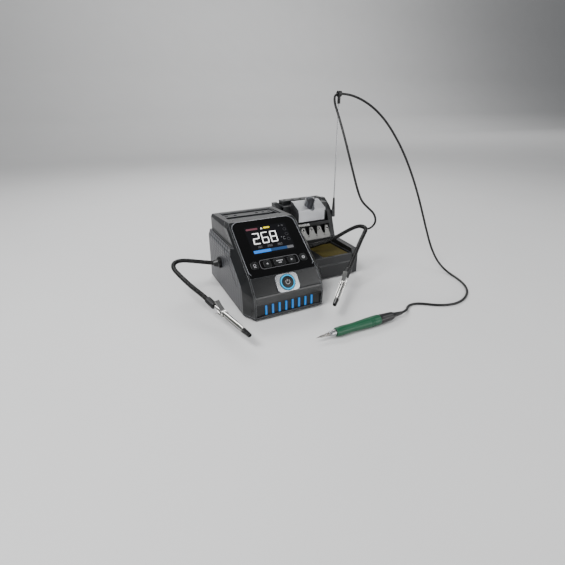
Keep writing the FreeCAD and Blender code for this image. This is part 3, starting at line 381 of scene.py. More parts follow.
def lit_ring(name, middle, inner_mm, outer_mm):
    """Acrylic whose glow is strongest at the inner rim and fades across its width."""
    material = lit(name, "#020c12", "#12b4ee", 1.5)
    tree = material.node_tree
    shader = next(node for node in tree.nodes if node.type == "BSDF_PRINCIPLED")
    place = add(tree, "ShaderNodeTexCoord").outputs["Object"]
    reach = add(tree, "ShaderNodeVectorMath", {"operation": "DISTANCE", 1: tuple(middle)}, {0: place})
    fade = add(tree, "ShaderNodeMapRange", {"From Min": inner_mm * MM, "From Max": outer_mm * MM},
               {"Value": reach.outputs["Value"]})
    shader.inputs["Specular IOR Level"].default_value = 0.2
    glow = add(tree, "ShaderNodeMix", {"data_type": "RGBA", 6: linear("#12b4ee"), 7: linear("#02202e")},
               {0: fade.outputs[0]})
    join(tree, glow.outputs[2], shader.inputs["Emission Color"])
    return material


NOSE_FOOT, NOSE_UP = (2.2, 34.5), (0.6076, 0.7943)    # (Y, Z) where the slope starts, and up it
POWER_V = 11.6                                        # the button's middle, up the slope
ring_centre = at(0, NOSE_FOOT[0] + POWER_V * NOSE_UP[0], NOSE_FOOT[1] + POWER_V * NOSE_UP[1])
ring_glow = lit_ring("ring_lit_acrylic", ring_centre, 9.2, 11.2)
slot_glow = lit("slot_lit_acrylic", "#04142c", "#0a86e4", 0.9)
button_abs = moulded_abs("gloss_button_abs", "#040405", "#070708", "#1c1c1e", 0.16,
                         grain_depth=0.0, edge_mm=0.3)
display_black = lit("display_dark_area", "#020204", "#04060c", 0.25, 0.12)
ink_white = lit("display_white", "#b8b8b8", "#ffffff", 1.3)
# Key and button print: real white print, with a painted glow on top.
key_print_glow = lit("key_print_white_glow", "#6c6c6e", "#c8c8cc", 0.55)
ink_grey = lit("display_grey", "#3a3a3c", "#8c8c90", 0.35)
ink_faint = lit("display_faint", "#1c1c1e", "#54545a", 0.16)
ink_blue = lit("display_blue", "#0a3466", "#1f86fa", 0.95)
ink_deep_blue = lit("display_deep_blue", "#0a2038", "#1a5a9e", 0.42)
ink_pink = lit("display_rose", "#3a2026", "#a8566a", 0.34)
ink_yellow = lit("display_yellow", "#a89a10", "#ffe92a", 0.9)
print("lights and inks made")

# %% [markdown]
# The rubbers differ mostly in sheen. Feet, clip collars and the lead are black silicone with
# a soft bloom; the grip of the iron is deep green silicone, satin and without bloom, because
# fingers polish it. The two circuit boards inside share the plastic's tree in green.

# %% Rubbers
def silicone(name, dark, light, gloss, sheen):
    material, tree, shader = new_finish(name, IOR=1.42, Sheen_Weight=sheen, Sheen_Roughness=0.4)
    place, noise, mix = grained_colour(tree, shader, dark, light, 8)
    # Lighter edges: partly wear, partly a painted highlight along the edge.
    normal = edge_wear_and_highlight(tree, shader, mix, light, 0.5, 0.3)
    dust = add(tree, "ShaderNodeTexNoise", {"Scale": 1 / (0.6 * MM), "Detail": 3.0}, {"Vector": place})
    bump = add(tree, "ShaderNodeBump", {"Strength": 0.12, "Distance": 0.05 * MM},
               {"Height": dust.outputs["Fac"], "Normal": normal})
    join(tree, bump.outputs[0], shader.inputs["Normal"])
    varied_gloss(tree, shader, noise.outputs["Fac"], gloss - 0.06, gloss + 0.08)
    return material


black_silicone = silicone("black_silicone", "#080809", "#101012", 0.42, 0.05)
lead_silicone = silicone("lead_silicone", "#060607", "#0d0d0e", 0.38, 0.03)
green_silicone = silicone("green_silicone", "#013a24", "#014c2e", 0.36, 0.0)
solder_mask = moulded_abs("green_solder_mask", "#0c3a20", "#0f4627", "#3f7a4c", 0.3)

# %% [markdown]
# With the finishes ready, each carried-over part gets its own. A part from the frame keeps
# one slot of material, so giving it a finish is a single assignment.

# %% Dress the carried-over parts
wardrobe = {
    housing_abs: ["housing", "base_plate", "rear_panel"],
    frame_abs: ["face_frame"],
    nose_abs: ["nose_panel"],
    slot_abs: ["slot_panel"],
    panel_abs: ["side_panel_left", "side_panel_right"],
    tray_abs: ["tip_tray"],
    face_glass: ["glass_panel", "lcd_module"],
    dark_abs: ["key_standby", "key_down", "key_set", "key_up", "key_menu", "mains_inlet",
               "rocker_switch", "iron_socket", "iron_body", "arm_left_ferrule", "arm_right_ferrule"],
    button_abs: ["power_button"],
    ring_glow: ["glow_ring"],
    slot_glow: ["light_guide"],
    plate_aluminium: ["power_plate"],
    solder_mask: ["main_board", "key_board"],
    sink_aluminium: ["power_supply"],
    black_silicone: ["feet", "rod_clip", "arm_left_collar", "arm_right_collar"],
    stand_abs: ["stand_base", "stand_cheek_left", "stand_cheek_right", "rod_socket"],
    rack_abs: ["tip_rack"],
    cradle_aluminium: ["cradle_block", "cradle_tube", "cradle_housing"],
    finger_steel: ["finger_plate", "rear_screws"],
    strip_steel: ["shelf_strip"],
    rod_steel: ["lead_rod", "iron_nozzle"],
    clip_steel: ["clip_left_pivot", "clip_right_pivot"],
    tip_steel: ["iron_tip"],
    lead_silicone: ["iron_strain_relief", "lead_plug"],
}
for finish, names in wardrobe.items():
    for name in names:
        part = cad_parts[name]
        part.data.materials.clear()
        part.data.materials.append(finish)
lead.data.materials.append(lead_silicone)
print(sum(len(names) for names in wardrobe.values()), "parts dressed")

# %% [markdown]
# A gooseneck is a spring wound of two wires, so its outside is a row of fine ribs. A curve
# with a round section swept along it gives the tube, and its radius follows a wave along the
# length, one swell for each rib. The tree below does this for both arms from named sizes.

# %% Ribbed tube along a line
STEPS_PER_RIB, TUBE_SIDES = 6.0, 20


def ribbed_tube_tree():
    tree = bpy.data.node_groups.new("ribbed_tube", "GeometryNodeTree")
    face = tree.interface
    face.new_socket("Line", in_out="INPUT", socket_type="NodeSocketGeometry")
    for name, value in (("Radius", 0.003), ("Rib depth", 0.0003), ("Rib pitch", 0.0019)):
        face.new_socket(name, in_out="INPUT", socket_type="NodeSocketFloat").default_value = value
    face.new_socket("Finish", in_out="INPUT", socket_type="NodeSocketMaterial")
    face.new_socket("Tube", in_out="OUTPUT", socket_type="NodeSocketGeometry")
    given = add(tree, "NodeGroupInput")
    step = add(tree, "ShaderNodeMath", {"operation": "DIVIDE", 1: STEPS_PER_RIB},
               {0: given.outputs["Rib pitch"]})
    fine = add(tree, "GeometryNodeResampleCurve", {"mode": "LENGTH"},
               {"Curve": given.outputs["Line"], "Length": step.outputs[0]})
    along = add(tree, "GeometryNodeSplineParameter")
    share = add(tree, "ShaderNodeMath", {"operation": "DIVIDE"},
                {0: along.outputs["Length"], 1: given.outputs["Rib pitch"]})
    phase = add(tree, "ShaderNodeMath", {"operation": "MULTIPLY", 1: 2 * math.pi}, {0: share.outputs[0]})
    wave = add(tree, "ShaderNodeMath", {"operation": "COSINE"}, {0: phase.outputs[0]})
    swell = add(tree, "ShaderNodeMath", {"operation": "MULTIPLY"},
                {0: wave.outputs[0], 1: given.outputs["Rib depth"]})
    radius = add(tree, "ShaderNodeMath", {"operation": "ADD"},
                 {0: swell.outputs[0], 1: given.outputs["Radius"]})
    section = add(tree, "GeometryNodeCurvePrimitiveCircle", {"Resolution": TUBE_SIDES, "Radius": 1.0})
    swept = add(tree, "GeometryNodeCurveToMesh", {"Fill Caps": True},
                {"Profile Curve": section.outputs["Curve"], "Curve": fine.outputs[0],
                 "Scale": radius.outputs[0]})
    smooth = add(tree, "GeometryNodeSetShadeSmooth", links={0: swept.outputs[0]})
    real = add(tree, "GeometryNodeRealizeInstances", links={0: smooth.outputs[0]})
    coated = add(tree, "GeometryNodeSetMaterial", links={"Geometry": real.outputs[0],
                                                         "Material": given.outputs["Finish"]})
    add(tree, "NodeGroupOutput", links={0: coated.outputs[0]})
    return tree


def grown(name, source, tree, values):
    """Runs a tree on an object, keeps the result as a plain mesh and removes the source."""
    modifier = source.modifiers.new(tree.name, "NODES")
    modifier.node_group = tree
    for item in tree.interface.items_tree:
        if item.item_type == "SOCKET" and item.in_out == "INPUT" and item.name in values:
            modifier[item.identifier] = values[item.name]
    source.data.update_tag()
    bpy.context.view_layer.update()
    depsgraph = bpy.context.evaluated_depsgraph_get()
    mesh = bpy.data.meshes.new_from_object(source.evaluated_get(depsgraph), depsgraph=depsgraph)
    source.modifiers.remove(modifier)
    bpy.data.objects.remove(source)
    piece = bpy.data.objects.new(name, mesh)
    mesh.name = name
    bpy.context.scene.collection.objects.link(piece)
    print(name, len(mesh.polygons), "faces")
    return piece


# %% [markdown]
# The necks' wire is blackened steel under a thin film of oil, so it is nearly black with a
# narrow, soft highlight on each rib. Their two routes start in the ferrules at the unit's
# sides and end in the clips' collars, and the ribs are shallow next to the tube's radius.

# %% The two goosenecks
def black_oxide():
    material, tree, shader = new_finish("black_oxide_steel", IOR=1.5, Specular_IOR_Level=0.22)
    noise = grained_colour(tree, shader, "#040404", "#090909", 6)[1]
    varied_gloss(tree, shader, noise.outputs["Fac"], 0.2, 0.32)
    return material


GOOSENECK_RADIUS, RIB_DEPTH, RIB_PITCH = 3.05, 0.22, 1.9
GOOSENECKS = {
    "left": [(-67, 112, 46), (-76, 117.5, 46.6), (-92, 128, 47.6), (-110, 135.5, 50),
             (-122, 133, 49.6), (-126.5, 120, 46.5), (-121.5, 99, 42.3), (-113, 70, 36.5),
             (-102.5, 48, 30), (-95.5, 30, 24)],
    "right": [(67, 112, 46), (78, 111, 45.7), (95, 107, 47.3), (114, 101, 53), (130, 95, 59.8),
              (143, 90, 67.8), (155.5, 85, 75), (164.3, 80.7, 78.6), (168.6, 73, 79), (167, 65, 76.8),
              (157.5, 58.5, 70.8), (148, 52.5, 64), (136, 44.5, 53.5), (122, 35.5, 40.5),
              (104.5, 23.5, 27.5)],
}
ribs = ribbed_tube_tree()
oxide = black_oxide()
for side, route in GOOSENECKS.items():
    line = smooth_line(f"line_{side}", [at(*p) for p in route])
    arm = grown(f"gooseneck_{side}", line, ribs,
                {"Radius": GOOSENECK_RADIUS * MM, "Rib depth": RIB_DEPTH * MM,
                 "Rib pitch": RIB_PITCH * MM, "Finish": oxide})
    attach(arm, f"arm_{side}")
    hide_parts(f"arm_{side}_gooseneck")

# %% [markdown]
# Some parts are round about one axis, such as a grip. It could be a stack of cylinders, but
# spinning one side line about the axis keeps the curve in a single smooth skin. The line is
# given as distance and radius, and a smooth curve through its points rounds it. Every piece
# made here is put in the scene, given its finish and set on its body by one function.

# %% Turned pieces
def finished(name, mesh, material, body, smooth=False):
    """Puts a mesh in the scene as a piece that rides on a body."""
    piece = bpy.data.objects.new(name, mesh)
    bpy.context.scene.collection.objects.link(piece)
    mesh.materials.append(material)
    mesh.polygons.foreach_set("use_smooth", [smooth] * len(mesh.polygons))
    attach(piece, body)
    return piece


def piece_mesh(name, work):
    """Turns a bmesh into a mesh whose faces point outwards."""
    bmesh.ops.recalc_face_normals(work, faces=work.faces)
    mesh = bpy.data.meshes.new(name)
    work.to_mesh(mesh)
    work.free()
    return mesh


def turned_sleeve(name, centre, profile, sides, material, body):
    """Spins a closed outline of (distance, radius) points about a line along X."""
    work = bmesh.new()
    rings = []
    for distance, radius in profile:
        ring = []
        for k in range(sides):
            a = 2 * math.pi * k / sides
            ring.append(work.verts.new(centre + Vector((distance * MM, radius * MM * math.cos(a),
                                                        radius * MM * math.sin(a)))))
        rings.append(ring)
    for a, b in zip(rings, rings[1:] + rings[:1]):
        for k in range(sides):
            j = (k + 1) % sides
            work.faces.new((a[k], b[k], b[j], a[j]))
    return finished(name, piece_mesh(name, work), material, body, smooth=True)


def rounded_profile(points, per_span):
    """Fills a side line with points on a smooth curve through the given ones."""
    out = []
    for i in range(len(points) - 1):
        p0, p1, p2, p3 = [Vector(points[max(0, min(len(points) - 1, i + k))]) for k in (-1, 0, 1, 2)]
        for step in range(per_span):
            t = step / per_span
            out.append(0.5 * (2 * p1 + (p2 - p0) * t + (2 * p0 - 5 * p1 + 4 * p2 - p3) * t * t
                              + (3 * p1 - p0 - 3 * p2 + p3) * t ** 3))
    out.append(Vector(points[-1]))
    return [tuple(p) for p in out]


# %% [markdown]
# The grip is a silicone sleeve shaped to the fingers: slim in front, a little waist, thicker
# behind, with three fine grooves towards the back. Its bore closes the outline, so the
# sleeve is hollow and the iron's body shows at both ends.

# %% The grip of the iron
GRIP_START = (24, -72, 6.9)
GRIP_FRONT = [(0, 4.85), (0.7, 5.35), (2.5, 5.6), (8, 5.85), (15, 5.75), (22, 5.5), (30, 5.7),
              (38, 6.05), (46, 6.5), (48.2, 6.6)]
GRIP_BACK = [(55.0, 6.7), (59, 6.74), (62.5, 6.7), (64.2, 6.45), (64.9, 6.0)]
GRIP_BORE = [(64.9, 4.62), (0.0, 4.62)]
GRIP_RINGS = (49.0, 51.0, 53.0)    # where each fine groove starts

grip_sides = rounded_profile(GRIP_FRONT, 6)
for x in GRIP_RINGS:
    grip_sides += [(x, 6.62), (x + 0.3, 6.25), (x + 0.8, 6.25), (x + 1.1, 6.66)]
grip_sides += rounded_profile(GRIP_BACK, 5)
grip = turned_sleeve("iron_grip_sleeve", at(*GRIP_START), grip_sides + GRIP_BORE, 64, green_silicone,
                     "station")
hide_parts("iron_grip")
print("grip", len(grip.data.polygons), "faces")

# %% [markdown]
# The clips are nickel-plated steel, bright and nearly smooth, but their gripping ends are
# drawn near black and not metallic: both the colour and the metallic value change there,
# over a few millimetres, with the distance from the tip.

# %% Clip finish with darkened ends
CLIP_ENDS = {"left": ((-95.5, 30, 24), (-76.5, -52, 19.5)),
             "right": ((104.5, 23.5, 27.5), (44, -37, 20))}
CLIP_LENGTH, CLIP_PIVOT = 84.0, 29.0
DARK_TIP_START_MM, DARK_TIP_FULL_MM = 15.5, 12.5


def jaw_metal(side):
    material, tree, shader = new_finish(f"nickel_jaw_{side}")
    place, noise, mix = grained_colour(tree, shader, "#a9a8a5", "#d0cfcc", 12)
    start, end = [at(*p) for p in CLIP_ENDS[side]]
    tip = start + (end - start).normalized() * CLIP_LENGTH * MM
    reach = add(tree, "ShaderNodeVectorMath", {"operation": "DISTANCE", 1: tuple(tip)}, {0: place})
    # Near black and not metallic towards the tip.
    dark = add(tree, "ShaderNodeMapRange",
               {"From Min": DARK_TIP_START_MM * MM, "From Max": DARK_TIP_FULL_MM * MM},
               {"Value": reach.outputs["Value"]})
    both = add(tree, "ShaderNodeMix", {"data_type": "RGBA", 7: linear("#0c0c0d")},
               {0: dark.outputs[0], 6: mix.outputs[2]})
    join(tree, both.outputs[2], shader.inputs["Base Color"])
    shine = add(tree, "ShaderNodeMapRange", {"To Min": 1.0, "To Max": 0.2}, {"Value": dark.outputs[0]})
    join(tree, shine.outputs[0], shader.inputs["Metallic"])
    varied_gloss(tree, shader, noise.outputs["Fac"], 0.1, 0.24)
    return material


# %% [markdown]
# Each jaw is pressed from sheet into a half-round trough that narrows towards the tip, and
# its rim is cut into teeth. A ring of points for each station along the jaw, outside and
# inside the sheet, gives the trough its real wall; the rim's height swings up and down at the
# teeth. A bent strip makes each finger lever, and a short rod is the lower jaw's neck.

# %% Jaws pressed from sheet
SHEET_MM, TEETH_FROM, TOOTH_MM = 0.6, 71, 0.45
ARC_STEPS, ROD_SIDES = 14, 20


def clip_place(side):
    """The matrix from a clip's own axes (X forward, Z up, millimetres) to the scene."""
    start, end = [at(*p) for p in CLIP_ENDS[side]]
    forward = (end - start).normalized()
    across = Vector((0, 0, 1)).cross(forward).normalized()
    upward = forward.cross(across)
    turn = Matrix((forward, across, upward)).transposed().to_4x4()
    return Matrix.Translation(start) @ turn @ Matrix.Scale(MM, 4)


def trough(work, stations, opening, up):
    """A half-round sheet trough. stations: (distance, radius, rim height); up is 1 or -1."""
    rings = []
    for n, (x, radius, rim) in enumerate(stations):
        if x > TEETH_FROM:
            rim += TOOTH_MM * (1 if n % 2 else -1)
        outer, inner = [], []
        for k in range(ARC_STEPS + 1):
            a = math.pi * k / ARC_STEPS
            c, h = math.cos(a), math.sin(a)
            outer.append(work.verts.new((x, radius * c, up * (rim + (radius * opening) * h))))
            inner.append(work.verts.new((x, (radius - SHEET_MM) * c,
                                         up * (rim + (radius * opening - SHEET_MM) * h))))
        rings.append(outer + inner[::-1])
    count = 2 * (ARC_STEPS + 1)
    for a, b in zip(rings, rings[1:]):
        for k in range(count):
            j = (k + 1) % count
            work.faces.new((a[k], b[k], b[j], a[j]))
    for ring in (rings[0], rings[-1]):
        for k in range(ARC_STEPS):
            work.faces.new((ring[k], ring[k + 1], ring[count - 2 - k], ring[count - 1 - k]))


def ramp_stations(points, step=1.2):
    """Stations at even steps between (distance, radius, rim) points."""
    out, x = [], points[0][0]
    while x < points[-1][0]:
        for a, b in zip(points, points[1:]):
            if a[0] <= x <= b[0]:
                t = (x - a[0]) / (b[0] - a[0])
                out.append((x, a[1] + (b[1] - a[1]) * t, a[2] + (b[2] - a[2]) * t))
                break
        x += step
    return out + [points[-1]]


def plate_strip(work, line, half, thick):
    """A bent strip of sheet: line holds (x, z) points, half is half its width."""
    rows = []
    for i, (x, z) in enumerate(line):
        before, after = line[max(0, i - 1)], line[min(len(line) - 1, i + 1)]
        dx, dz = after[0] - before[0], after[1] - before[1]
        length = math.hypot(dx, dz)
        nx, nz = -dz / length * thick / 2, dx / length * thick / 2
        rows.append([work.verts.new((x + s * nx, y, z + s * nz)) for s, y in
                     ((1, -half), (1, half), (-1, half), (-1, -half))])
    for a, b in zip(rows, rows[1:]):
        for k in range(4):
            work.faces.new((a[k], a[(k + 1) % 4], b[(k + 1) % 4], b[k]))
    work.faces.new(rows[0])
    work.faces.new(rows[-1][::-1])


def rod(work, x0, x1, radius):
    """A round bar along X."""
    turns = [2 * math.pi * k / ROD_SIDES for k in range(ROD_SIDES)]
    ends = [[work.verts.new((x, radius * math.cos(a), radius * math.sin(a))) for a in turns]
            for x in (x0, x1)]
    for k in range(ROD_SIDES):
        j = (k + 1) % ROD_SIDES
        work.faces.new((ends[0][k], ends[1][k], ends[1][j], ends[0][j]))
    work.faces.new(ends[0])
    work.faces.new(ends[1][::-1])


# %% [markdown]
# The lower jaw is fixed to the clip and carries the neck that goes into the collar. The
# upper jaw turns about the pivot, so it rides on a body of its own and opens with it. Both
# are drawn in the clip's own axes, in millimetres, and then put in place by one matrix.

# %% The four jaws
def lower_jaw(work):
    trough(work, ramp_stations([(17, 3.4, -0.7), (CLIP_PIVOT, 4.1, -0.1), (60, 3.7, -0.2),
                                (72, 3.2, -0.45), (CLIP_LENGTH, 2.5, -0.45)]), 0.95, -1)
    plate_strip(work, [(24, -3.6), (17.5, -4.2), (14, -5.4), (10, -7.1)], 3.0, 0.8)
    rod(work, -10, 32, 2.0)


def upper_jaw(work):
    trough(work, ramp_stations([(CLIP_PIVOT - 4, 3.0, 0.4), (CLIP_PIVOT + 4, 3.2, 0.5), (60, 3.15, 0.6),
                                (72, 2.9, 0.5), (CLIP_LENGTH, 2.4, 0.5)]), 1.05, 1)
    plate_strip(work, [(CLIP_PIVOT - 1, 3.6), (CLIP_PIVOT - 4, 3.9), (22, 5.2), (16, 8.2),
                       (11.3, 11.5)], 2.9, 0.9)


def jaw_piece(side, level, body, finish, build):
    """Builds one jaw in its clip's own axes, puts it in place and hides the solid it stands for."""
    name = f"clip_{side}_{level}_shell"
    work = bmesh.new()
    build(work)
    bmesh.ops.transform(work, matrix=clip_place(side), verts=work.verts)
    mesh = piece_mesh(name, work)
    piece = finished(name, mesh, finish, body, smooth=True)
    mesh.set_sharp_from_angle(angle=math.radians(40))
    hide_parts(f"clip_{side}_{level}_jaw")


for side in CLIP_ENDS:
    finish = jaw_metal(side)
    jaw_piece(side, "lower", f"clip_{side}", finish, lower_jaw)
    jaw_piece(side, "upper", f"jaw_{side}", finish, upper_jaw)
print("clips made")

# %% [markdown]
# Each finger of the tip-changing plate has a bright pressed steel eyelet. They are all the
# same ring at an even pitch, so a tree places copies of one ring along a line, leaning with
# the plate, and makes them real at the end.

# %% Eyelets along the finger plate
def eyelet_tree():
    tree = bpy.data.node_groups.new("eyelet_row", "GeometryNodeTree")
    face = tree.interface
    for name, kind, value in (("Count", "NodeSocketInt", 6), ("Pitch", "NodeSocketFloat", 0.01),
                              ("Ring radius", "NodeSocketFloat", 0.002),
                              ("Wire radius", "NodeSocketFloat", 0.0005), ("Lean", "NodeSocketFloat", 0.5)):
        face.new_socket(name, in_out="INPUT", socket_type=kind).default_value = value
    face.new_socket("Start", in_out="INPUT", socket_type="NodeSocketVector")
    face.new_socket("Finish", in_out="INPUT", socket_type="NodeSocketMaterial")
    face.new_socket("Rings", in_out="OUTPUT", socket_type="NodeSocketGeometry")
    given = add(tree, "NodeGroupInput")
    step = add(tree, "ShaderNodeCombineXYZ", links={"X": given.outputs["Pitch"]})
    row = add(tree, "GeometryNodeMeshLine", links={"Count": given.outputs["Count"],
                                                   "Start Location": given.outputs["Start"],
                                                   "Offset": step.outputs[0]})
    loop = add(tree, "GeometryNodeCurvePrimitiveCircle", {"Resolution": 24},
               {"Radius": given.outputs["Ring radius"]})
    wire = add(tree, "GeometryNodeCurvePrimitiveCircle", {"Resolution": 8},
               {"Radius": given.outputs["Wire radius"]})
    ring = add(tree, "GeometryNodeCurveToMesh", links={"Curve": loop.outputs[0],
                                                       "Profile Curve": wire.outputs[0]})
    turn = add(tree, "ShaderNodeCombineXYZ", links={"X": given.outputs["Lean"]})
    copies = add(tree, "GeometryNodeInstanceOnPoints", links={"Points": row.outputs[0],
                                                              "Instance": ring.outputs[0],
                                                              "Rotation": turn.outputs[0]})
    real = add(tree, "GeometryNodeRealizeInstances", links={0: copies.outputs[0]})
    smooth = add(tree, "GeometryNodeSetShadeSmooth", links={0: real.outputs[0]})
    coated = add(tree, "GeometryNodeSetMaterial", links={"Geometry": smooth.outputs[0],
                                                         "Material": given.outputs["Finish"]})
    add(tree, "NodeGroupOutput", links={0: coated.outputs[0]})
    return tree


FINGER_COUNT, FINGER_PITCH, FIRST_FINGER = 6, 15.6, 69.4
EYELET_RADIUS, EYELET_WIRE = 2.0, 0.45
PLATE_FOOT, PLATE_LEAN, EYELET_HEIGHT = (140.2, 45.75), math.radians(28), 17.3
eye_y = PLATE_FOOT[0] + EYELET_HEIGHT * math.sin(PLATE_LEAN)
eye_z = PLATE_FOOT[1] + EYELET_HEIGHT * math.cos(PLATE_LEAN)
seed = bpy.data.objects.new("eyelet_seed", bpy.data.meshes.new("eyelet_seed"))
bpy.context.scene.collection.objects.link(seed)
eyelets = grown("finger_eyelets", seed, eyelet_tree(),
                {"Count": FINGER_COUNT, "Pitch": FINGER_PITCH * MM, "Ring radius": EYELET_RADIUS * MM,
                 "Wire radius": EYELET_WIRE * MM, "Lean": math.pi / 2 - PLATE_LEAN,
                 "Start": tuple(at(FIRST_FINGER, eye_y, eye_z)), "Finish": strip_steel})
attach(eyelets, "station")

# %% [markdown]
# The sponge is compressed cellulose, wetted and swollen in its well: soft edges, a slightly
# crowned top pressed down in the middle by use, and open pores of one to two millimetres.
# A finely divided block is bent to that form and its surface is broken up by two noises.

# %% The sponge
CUTS, SKIN_GAP, CORNER_MM, DIP_MM = 38, 0.5, 3.0, 0.9


def cellulose():
    material, tree, shader = new_finish("wet_cellulose", IOR=1.4, Specular_IOR_Level=0.25)
    place, patches, mix = grained_colour(tree, shader, "#3a3310", "#50481e", 9)
    pores = add(tree, "ShaderNodeTexVoronoi", {"Scale": 1 / (1.5 * MM)}, {"Vector": place})
    # The pores are painted darker: painted shade in the holes, which also sets their bump.
    pore_depth_and_shade = add(tree, "ShaderNodeMapRange", {"From Max": 0.55}, {"Value": pores.outputs["Distance"]})
    both = add(tree, "ShaderNodeMix", {"data_type": "RGBA", 6: linear("#161204")},
               {0: pore_depth_and_shade.outputs[0], 7: mix.outputs[2]})
    join(tree, both.outputs[2], shader.inputs["Base Color"])
    bump = add(tree, "ShaderNodeBump", {"Strength": 0.8, "Distance": 0.6 * MM},
               {"Height": pore_depth_and_shade.outputs[0]})
    join(tree, bump.outputs[0], shader.inputs["Normal"])
    varied_gloss(tree, shader, patches.outputs["Fac"], 0.6, 0.85)
    return material


def sponge_block():
    low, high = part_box("sponge")
    middle, half = (low + high) / 2, (high - low) / 2 - Vector((SKIN_GAP, SKIN_GAP, SKIN_GAP)) * MM
    work = bmesh.new()
    bmesh.ops.create_cube(work, size=2)
    bmesh.ops.subdivide_edges(work, edges=work.edges, cuts=CUTS, use_grid_fill=True)
    soft = CORNER_MM * MM
    for vertex in work.verts:
        unit = vertex.co.copy()
        place = Vector(unit[i] * half[i] for i in range(3))
        inner = Vector(max(-half[i] + soft, min(half[i] - soft, place[i])) for i in range(3))
        out = place - inner
        if out.length > soft:
            place = inner + out.normalized() * soft
        dip = (1 - unit.x ** 2) * (1 - unit.y ** 2)
        if unit.z > 0:
            place.z -= DIP_MM * MM * dip * unit.z
        here = middle + place
        rough = chaos.noise(here * 420) * 0.3 + chaos.noise(here * 1100) * 0.18
        vertex.co = here + (here - middle).normalized() * rough * MM
    return finished("cleaning_sponge", piece_mesh("cleaning_sponge", work), cellulose(), "station",
                    smooth=True)


sponge = sponge_block()
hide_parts("sponge")
print("sponge", len(sponge.data.polygons), "faces")

# %% [markdown]
# Everything on the display, the keys and the power button is printed or lit in flat shapes.
# Each is cut as a very thin plate, laid on the sloping glass. A small frame of three
# directions, across, up the slope and out of it, carries drawing points to their place.

# %% Flat shapes on a slope
GLASS_EDGE, GLASS_SLOPE = (0, 17.5, 54.5), math.radians(36.9)
NOSE_EDGE, NOSE_SLOPE = (0, *NOSE_FOOT), math.atan2(20, 15.3)
INK_MM = 0.06    # one coat of ink


class Slope:
    """A tilted plane of the unit: u across, v up it and w out of it, in millimetres."""

    def __init__(self, edge, tilt):
        self.edge, self.tilt = edge, tilt

    def point(self, u, v, w=0.0):
        x, y, z = self.edge
        c, s = math.cos(self.tilt), math.sin(self.tilt)
        return at(x + u, y + v * c - w * s, z + v * s + w * c)


glass_plane = Slope(GLASS_EDGE, GLASS_SLOPE)
nose_plane = Slope(NOSE_EDGE, NOSE_SLOPE)


def flat_shapes(name, plane, outlines, low, high, material, body):
    """Thin plates from outlines of (u, v) corners, all in one piece."""
    work = bmesh.new()
    for outline in outlines:
        floor = [work.verts.new(plane.point(u, v, low)) for u, v in outline]
        roof = [work.verts.new(plane.point(u, v, high)) for u, v in outline]
        work.faces.new(roof)
        work.faces.new(floor[::-1])
        for i in range(len(outline)):
            j = (i + 1) % len(outline)
            work.faces.new((floor[i], floor[j], roof[j], roof[i]))
    return finished(name, piece_mesh(name, work), material, body)


def bar(u0, u1, v0, v1):
    """The outline of an upright rectangle."""
    return [(u0, v0), (u1, v0), (u1, v1), (u0, v1)]


def soft_box(u, v, width, height, radius, steps=5):
    """The outline of a rounded rectangle about (u, v)."""
    outline = []
    for su, sv, start in ((1, -1, -90), (1, 1, 0), (-1, 1, 90), (-1, -1, 180)):
        for i in range(steps + 1):
            t = math.radians(start + 90 * i / steps)
            outline.append((u + su * (width / 2 - radius) + radius * math.cos(t),
                            v + sv * (height / 2 - radius) + radius * math.sin(t)))
    return outline


def loop_strips(outline, inner):
    """The band between an outline and a smaller one with as many corners, as quads."""
    count = len(outline)
    return [[outline[i], outline[(i + 1) % count], inner[(i + 1) % count], inner[i]] for i in range(count)]


# %% [markdown]
# The display shows the temperature in seven-segment digits, leaning a little. Each segment
# is a bar with pointed ends. A table says which of the seven are lit for each digit.

# %% Digits
SEGMENTS = {"0": "abcdef", "1": "bc", "2": "abged", "3": "abgcd", "5": "afgcd", "6": "afgedc",
            "8": "abcdefg", "C": "afed"}
LEAN = 0.1
GAP_SHARE, POINT_SHARE = 0.12, 0.6    # of a stroke: the gap between bars, and a bar's pointed end


def segment_digit(symbol, u, v, width, height, stroke):
    """The outlines of one digit whose lower left corner is at (u, v)."""
    half, gap, point = stroke / 2, stroke * GAP_SHARE, stroke * POINT_SHARE
    mid = height / 2
    across = {"a": height - half, "g": mid, "d": half}
    upright = {"f": (half, mid, height), "b": (width - half, mid, height),
               "e": (half, 0, mid), "c": (width - half, 0, mid)}
    shapes = []
    for s in SEGMENTS[symbol]:
        if s in across:
            y = across[s]
            shape = [(gap + half * 0.2, y), (point + gap, y - half), (width - point - gap, y - half),
                     (width - gap - half * 0.2, y), (width - point - gap, y + half),
                     (point + gap, y + half)]
        else:
            x, y0, y1 = upright[s]
            y0, y1 = y0 + gap, y1 - gap
            shape = [(x, y0), (x + half, y0 + half), (x + half, y1 - half), (x, y1),
                     (x - half, y1 - half), (x - half, y0 + half)]
        shapes.append([(u + px + (py - mid) * LEAN, v + py) for px, py in shape])
    return shapes


def number(text, u, v, width, height, stroke, gap):
    """The outlines of a row of digits; a space leaves a digit's room."""
    shapes = []
    for i, symbol in enumerate(text):
        if symbol != " ":
            shapes += segment_digit(symbol, u + i * (width + gap), v, width, height, stroke)
    return shapes


# %% [markdown]
# The picture on the display is a few such groups: a large reading with its unit, three small
# presets, a power bar in two blues with its value, and a row of plain marks along the top.
# Each group of one colour is one piece, lying one coat above the dark area behind it.

# %% Display picture
def show(name, outlines, material, low=INK_MM, high=2 * INK_MM):
    flat_shapes(name, glass_plane, outlines, low, high, material, "station")


